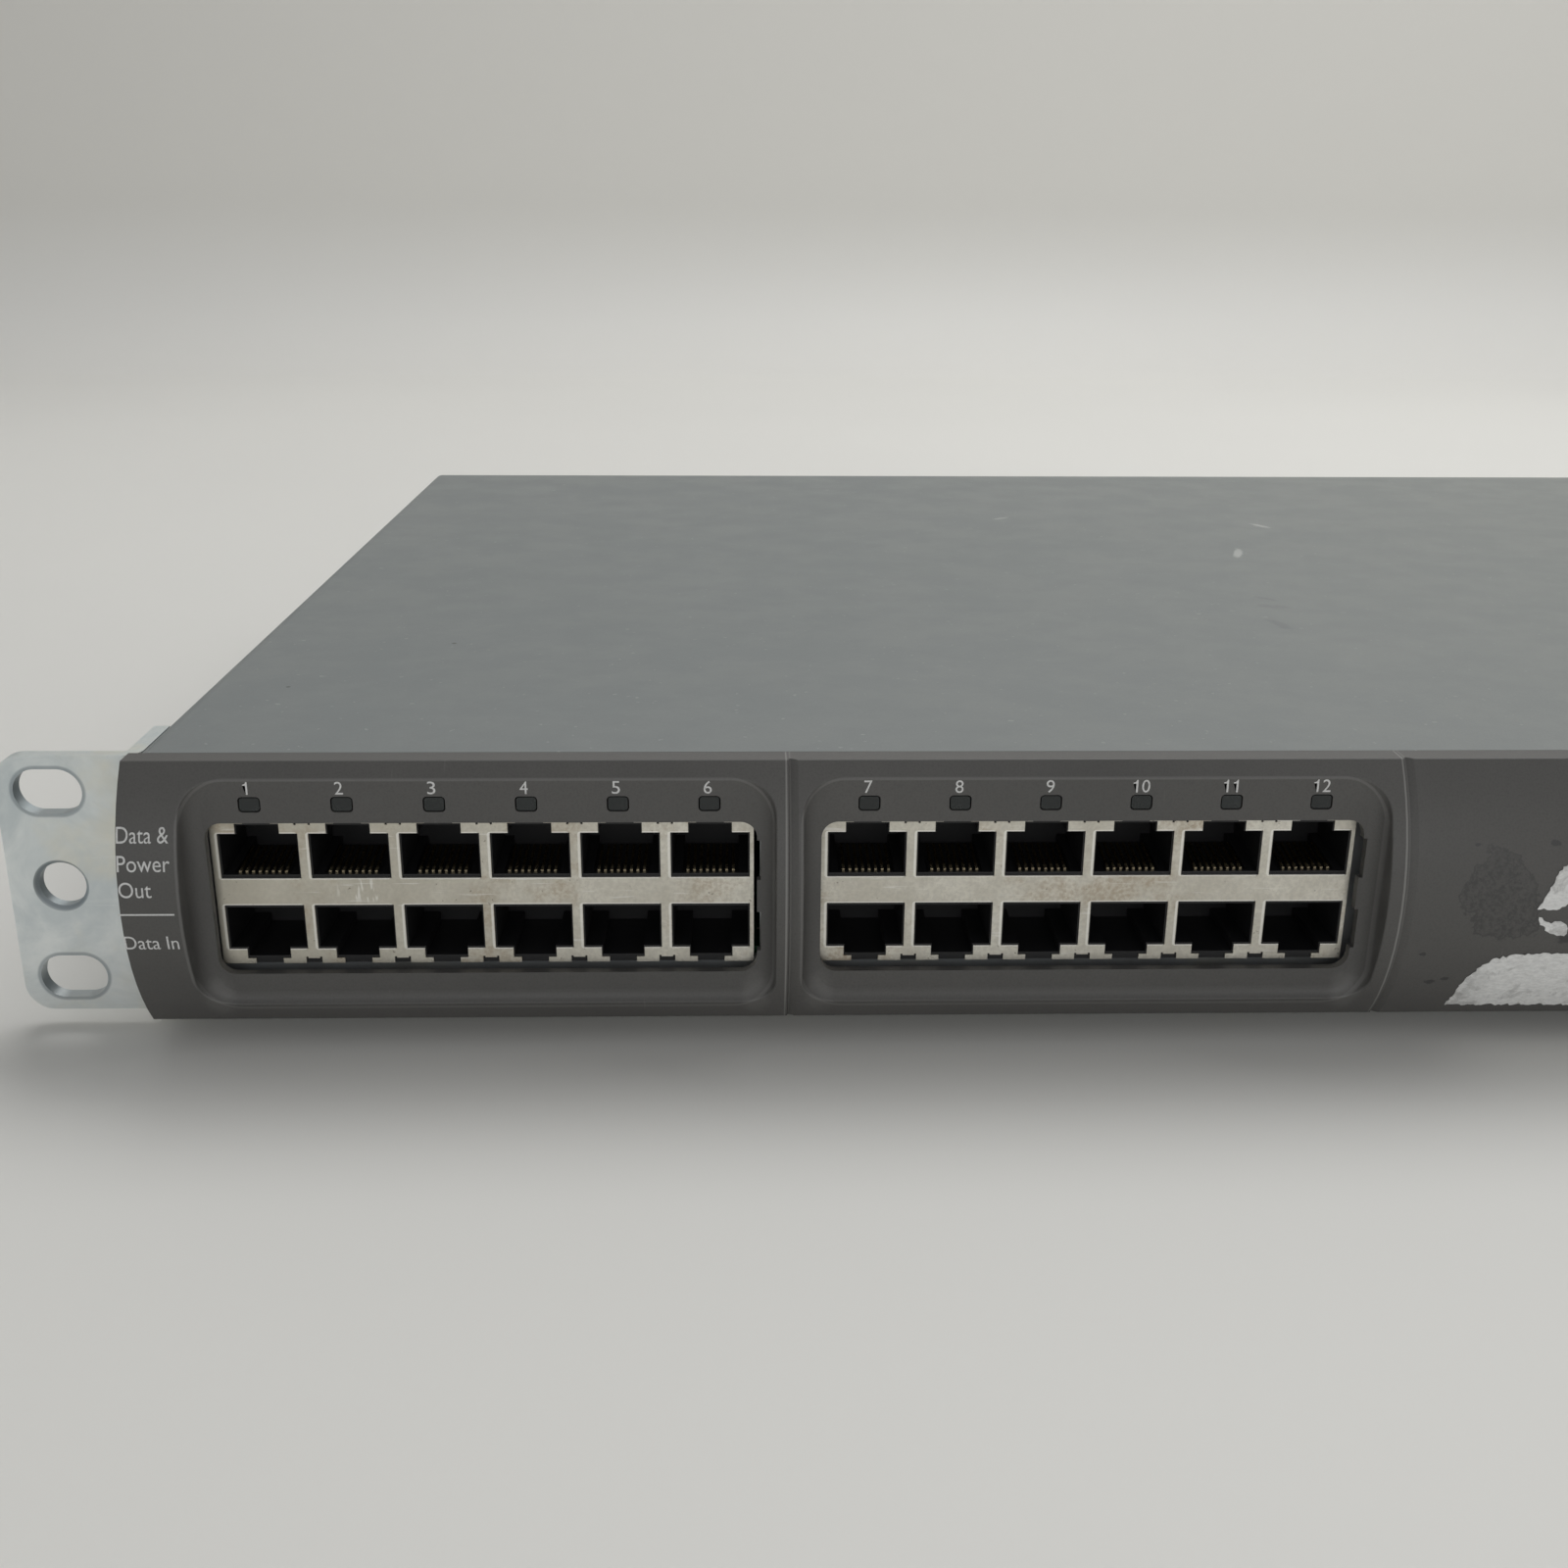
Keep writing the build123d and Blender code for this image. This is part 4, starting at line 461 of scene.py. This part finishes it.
FINISHES = {
    "cover_paint": cover_paint(),
    "bezel_plastic": bezel_plastic(),
    "zinc_steel": zinc("zinc_steel", (0.60, 0.62, 0.63), (0.50, 0.53, 0.545), (0.57, 0.565, 0.51), 0.36),
    "zinc_ear": zinc(
        "zinc_ear", (0.88, 0.91, 0.90), (0.66, 0.71, 0.72), (0.83, 0.81, 0.71), 0.36, 0.75, ear_holes
    ),
    "tinned_steel": tinned_steel(),
    "black_plastic": moulding("black_plastic", (0.0075, 0.0075, 0.0085), 0.52),
    "gold_plate": contact_gold(),
    "clear_guide": moulding("clear_guide", (0.012, 0.016, 0.016), 0.22, 0.25, 300.0, 0.05),
    "screw_steel": moulding("screw_steel", (0.52, 0.52, 0.50), 0.32, 0.15, 700.0, 0.12, Metallic=0.9),
    "foot_rubber": moulding("foot_rubber", (0.022, 0.022, 0.023), 0.8, 0.2, 400.0, 0.3),
    "board_laminate": board_laminate(),
    "plated_brass": turned("plated_brass", (0.62, 0.57, 0.42), 0.0012, "Z", 0.35),
    "led_body": moulding("led_body", (0.62, 0.62, 0.52), 0.3),
    "component_black": moulding("component_black", (0.02, 0.02, 0.022), 0.55, 0.2, 500.0, 0.25),
    "copper_winding": turned("copper_winding", (0.48, 0.17, 0.06), 0.0008, "X", 0.3),
    "winding_tape": moulding("winding_tape", (0.62, 0.43, 0.04), 0.3, 0.1, 300.0, 0.08),
    "ferrite": moulding("ferrite", (0.03, 0.03, 0.033), 0.5, 0.3, 600.0, 0.3),
    "capacitor_sleeve": moulding("capacitor_sleeve", (0.012, 0.016, 0.05), 0.3, 0.2, 300.0, 0.06),
    "connector_nylon": moulding("connector_nylon", (0.66, 0.64, 0.52), 0.48),
    "capacitor_box": moulding("capacitor_box", (0.52, 0.33, 0.04), 0.35),
    "sink_aluminium": zinc(
        "sink_aluminium", (0.66, 0.67, 0.68), (0.50, 0.51, 0.52), (0.58, 0.58, 0.57), 0.34, 0.9
    ),
    "fuse_glass": moulding("fuse_glass", (0.55, 0.60, 0.58), 0.1, 0.05, 300.0, 0.02, Transmission_Weight=0.8),
    "pin_nickel": moulding("pin_nickel", (0.62, 0.59, 0.52), 0.24, 0.12, 600.0, 0.06, Metallic=0.95),
    "fan_plastic": moulding("fan_plastic", (0.017, 0.017, 0.019), 0.38),
    "wire_brown": moulding("wire_brown", (0.11, 0.035, 0.014), 0.45),
    "wire_green": moulding("wire_green", (0.05, 0.24, 0.03), 0.45),
    "wire_red": moulding("wire_red", (0.38, 0.014, 0.012), 0.45),
    "wire_black": moulding("wire_black", (0.016, 0.016, 0.017), 0.45),
    "ribbon_grey": turned("ribbon_grey", (0.34, 0.35, 0.37), 0.00127, "Y", 0.5),
}
FINISHES["ribbon_grey"].node_tree.nodes["Principled BSDF"].inputs["Metallic"].default_value = 0.0
thread_finish = turned("threaded_steel", (0.56, 0.55, 0.53), 0.0008, "Y", 0.3)
ink_finish = printed_ink()
paper_finish = paper()

subparts = {row["node"]: row["material_slot"] for row in frame["record"]["subparts"]}
for name, node in nodes.items():
    finish = thread_finish if name == "earth_stud" else FINISHES[subparts[name]]
    if not node.material_slots:
        node.data.materials.append(finish)
    for slot in node.material_slots:
        slot.link = "OBJECT"
        slot.material = finish


# ---------------------------------------------------------------- pieces wrapped on the bezel
def add_piece(name, mesh, finish):
    piece = bpy.data.objects.new(name, mesh)
    bpy.context.scene.collection.objects.link(piece)
    mesh.materials.append(finish)
    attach(piece, BODY)
    return piece


def slice_heights(bm, step):
    """Cut a flat mesh, drawn in mm in X and Z, at even heights, so that it can follow the arc."""
    heights = [vert.co.z for vert in bm.verts]
    level = min(heights) + step
    while level < max(heights):
        geometry = bm.verts[:] + bm.edges[:] + bm.faces[:]
        bmesh.ops.bisect_plane(bm, geom=geometry, plane_co=(0, 0, level), plane_no=(0, 0, 1))
        level += step


def wrap(bm, depth_at, lift):
    """Lay a flat mesh, drawn in mm in X and Z, on a surface given by its depth at each place."""
    for vert in bm.verts:
        x, z = vert.co.x, vert.co.z
        vert.co = local(x, depth_at(x, z) - lift(x, z), z)


def print_text(name, text, left, right, bottom, top, depth_at):
    """Flat lettering between these edges, in mm, with its letters' tops and feet on them."""
    curve = bpy.data.curves.new(name, "FONT")
    curve.body = text
    curve.resolution_u = 6
    holder = bpy.data.objects.new(name, curve)
    bpy.context.scene.collection.objects.link(holder)
    bpy.context.view_layer.update()
    flat = bpy.data.meshes.new_from_object(holder)
    bpy.data.objects.remove(holder)
    bm = bmesh.new()
    bm.from_mesh(flat)
    bpy.data.meshes.remove(flat)
    low_x, high_x = min(v.co.x for v in bm.verts), max(v.co.x for v in bm.verts)
    low_y, high_y = min(v.co.y for v in bm.verts), max(v.co.y for v in bm.verts)
    for vert in bm.verts:
        x = left + (vert.co.x - low_x) / (high_x - low_x) * (right - left)
        z = bottom + (vert.co.y - low_y) / (high_y - low_y) * (top - bottom)
        vert.co = (x, 0.0, z)
    bmesh.ops.triangulate(bm, faces=bm.faces[:])
    slice_heights(bm, 0.35)
    wrap(bm, depth_at, printed)
    mesh = bpy.data.meshes.new(name)
    bm.to_mesh(mesh)
    bm.free()
    return add_piece(name, mesh, ink_finish)


def printed(x, z):
    """How far ink stands off the plastic, in mm, wherever it is."""
    return INK_LIFT


def on_floor(x, z):
    """How far the pockets' flat floor lies behind the jack faces, in mm."""
    return POCKET_FLOOR


def on_arc(x, z):
    """How far the bezel's arc lies behind the jack faces at this height, in mm."""
    return BEZEL_RADIUS - BEZEL_BULGE - math.sqrt(BEZEL_RADIUS ** 2 - z ** 2)


print_text("label_data_and", "Data &", -101.0, -93.2, 10.7, 13.1, on_arc)
print_text("label_power", "Power", -101.0, -93.1, 6.5, 8.95, on_arc)
print_text("label_out", "Out", -101.0, -96.1, 2.5, 4.95, on_arc)
print_text("label_data_in", "Data In", -101.2, -93.0, -6.2, -3.9, on_arc)


def outline_piece(name, corners, rough, seed, finish, depth_at, lift, thickness):
    """A thin sheet with a ragged outline, from its corners in mm, wrapped on the bezel."""
    rng = random.Random(seed)
    points = []
    for (x0, z0), (x1, z1) in zip(corners, corners[1:] + corners[:1]):
        length = math.hypot(x1 - x0, z1 - z0)
        count = max(2, int(length / 0.45)) if rough else max(1, int(length / 2.0))
        for step in range(count):
            along = step / count
            shift = rng.uniform(-rough, rough) if step else 0.0
            nx, nz = (z1 - z0) / length, -(x1 - x0) / length
            points.append((x0 + (x1 - x0) * along + nx * shift, z0 + (z1 - z0) * along + nz * shift))
    bm = bmesh.new()
    face = bm.faces.new([bm.verts.new((x, 0.0, z)) for x, z in points])
    bmesh.ops.triangulate(bm, faces=[face], ngon_method="EAR_CLIP")
    slice_heights(bm, 0.5)
    wrap(bm, depth_at, lift)
    bmesh.ops.recalc_face_normals(bm, faces=bm.faces[:])
    if sum(face.normal.y for face in bm.faces) > 0:
        bmesh.ops.reverse_faces(bm, faces=bm.faces[:])
    if thickness:
        front = bm.faces[:]
        bmesh.ops.extrude_face_region(bm, geom=front, use_keep_orig=True)
        back = {vert for face in bm.faces if face not in set(front) for vert in face.verts}
        for vert in back - {vert for face in front for vert in face.verts}:
            vert.co.y += thickness * MM
        bmesh.ops.recalc_face_normals(bm, faces=bm.faces[:])
    mesh = bpy.data.meshes.new(name)
    bm.to_mesh(mesh)
    bm.free()
    return add_piece(name, mesh, finish)


# The port numbers; a one is drawn from its own outline, because the built-in font's is a plain bar
columns = [block + (index - 2.5) * PORT_PITCH for block in (-BLOCK_X, BLOCK_X) for index in range(6)]
ONE = (
    (0.45, 0.0), (0.45, 1.43), (0.0, 1.43), (0.0, 1.61), (0.26, 1.66), (0.43, 1.80), (0.55, 2.05),
    (0.74, 2.05), (0.74, 0.0),
)
for number, column in enumerate(columns, start=1):
    digits = str(number)
    for place, digit in enumerate(digits):
        middle = column + (place - (len(digits) - 1) / 2) * DIGIT_PITCH
        digit_name = f"number_{number}_digit_{place + 1}"
        if digit == "1":
            corners = [(middle - 0.48 + x, DIGIT_FEET + z) for x, z in ONE]
            outline_piece(
                digit_name, corners, 0.0, number, ink_finish, on_floor, printed, 0.0
            )
        else:
            print_text(digit_name, digit, middle - DIGIT_HALF_WIDTH, middle + DIGIT_HALF_WIDTH, DIGIT_FEET,
                       DIGIT_TOPS, on_floor)
rule_corners = [(-101.4, -0.35), (-93.0, -0.35), (-93.0, -0.08), (-101.4, -0.08)]
outline_piece("label_rule", rule_corners, 0.0, 1, ink_finish, on_arc, printed, 0.0)


def curl(x, z):
    """Torn paper stands off the plastic by a little, unevenly."""
    return 0.10 + 0.05 * math.sin(x * 1.7) * math.sin(z * 1.3 + 0.6)


outline_piece("label_remnant_lower", [
    (106.4, -19.7), (106.9, -17.0), (107.3, -14.4), (108.1, -12.6), (109.2, -10.9), (110.8, -9.2),
    (115.1, -8.4), (121.7, -8.3), (127.5, -8.9), (134.0, -8.4), (139.5, -9.9), (143.5, -12.6), (141.8, -15.0),
    (144.6, -17.0), (142.0, -19.3), (131.0, -19.8), (118.0, -19.6),
], 0.28, 7, paper_finish, on_arc, curl, 0.09)
outline_piece("label_remnant_upper", [
    (115.8, -0.3), (117.1, 2.4), (119.1, 6.6), (121.6, 7.4), (127.0, 6.9), (133.0, 7.6), (137.2, 6.0),
    (136.0, 3.2), (138.6, 1.2), (133.0, -0.2), (128.0, 0.5), (123.5, -0.5), (120.4, 0.6), (118.8, -0.4),
], 0.24, 11, paper_finish, on_arc, curl, 0.09)
outline_piece("label_remnant_flake", [
    (116.3, -1.6), (118.0, -2.5), (120.3, -2.6), (121.2, -3.6), (120.9, -5.0), (119.2, -4.6), (117.7, -4.0),
], 0.34, 13, paper_finish, on_arc, curl, 0.07)

# ---------------------------------------------------------------- stage and light
bpy.context.scene.view_settings.view_transform = "Standard"
world = bpy.data.worlds.new("world")
bpy.context.scene.world = world
world.use_nodes = True
world.node_tree.nodes["Background"].inputs["Color"].default_value = (0.97, 0.985, 1.0, 1)
world.node_tree.nodes["Background"].inputs["Strength"].default_value = 0.27


def backdrop_paper():
    g = Graph("backdrop_paper")
    clouds = g.noise(1.6, 3.0, 0.5)
    colour = g.mix(g.remap(clouds, 0.35, 0.65), (0.755, 0.747, 0.715), (0.775, 0.767, 0.733))
    colour = g.mix(g.along("Z", 0.03, 0.16), colour, (0.80, 0.787, 0.745))
    return g.finish(colour, 0.6, g.noise(900.0, 2.0), 0.05, 0.0001)


def make_backdrop():
    """A floor that curves up into a wall behind the object."""
    wall_y, bend, half_width, height, front = 1.0, 0.12, 3.0, 2.4, -2.5
    profile = [(front, 0.0), (wall_y - bend, 0.0)]
    for step in range(1, 17):
        turn = math.radians(90 * step / 16)
        profile.append((wall_y - bend + bend * math.sin(turn), bend - bend * math.cos(turn)))
    profile.append((wall_y, height))
    mesh = bpy.data.meshes.new("backdrop")
    verts = [(x, y, z) for y, z in profile for x in (-half_width, half_width)]
    faces = [(2 * i, 2 * i + 1, 2 * i + 3, 2 * i + 2) for i in range(len(profile) - 1)]
    mesh.from_pydata(verts, [], faces)
    for polygon in mesh.polygons:
        polygon.use_smooth = True
    backdrop = bpy.data.objects.new("backdrop", mesh)
    bpy.context.scene.collection.objects.link(backdrop)
    mesh.materials.append(backdrop_paper())


make_backdrop()


def area_light(name, place, aim, size, power, colour=(1, 1, 1)):
    data = bpy.data.lights.new(name, "AREA")
    data.shape = "RECTANGLE"
    data.size, data.size_y = size
    data.energy = power
    data.color = colour
    lamp = bpy.data.objects.new(name, data)
    bpy.context.scene.collection.objects.link(lamp)
    lamp.location = place
    lamp.rotation_mode = "QUATERNION"
    lamp.rotation_quaternion = (Vector(aim) - Vector(place)).to_track_quat("-Z", "Y")


area_light("overhead", (0.42, 0.55, 1.3), (0.1, -0.1, 0.0), (2.2, 0.86), 17.5)
area_light("front_fill", (0.0, -1.3, 0.40), (0.0, 0.0, 0.05), (1.6, 0.5), 3.8)
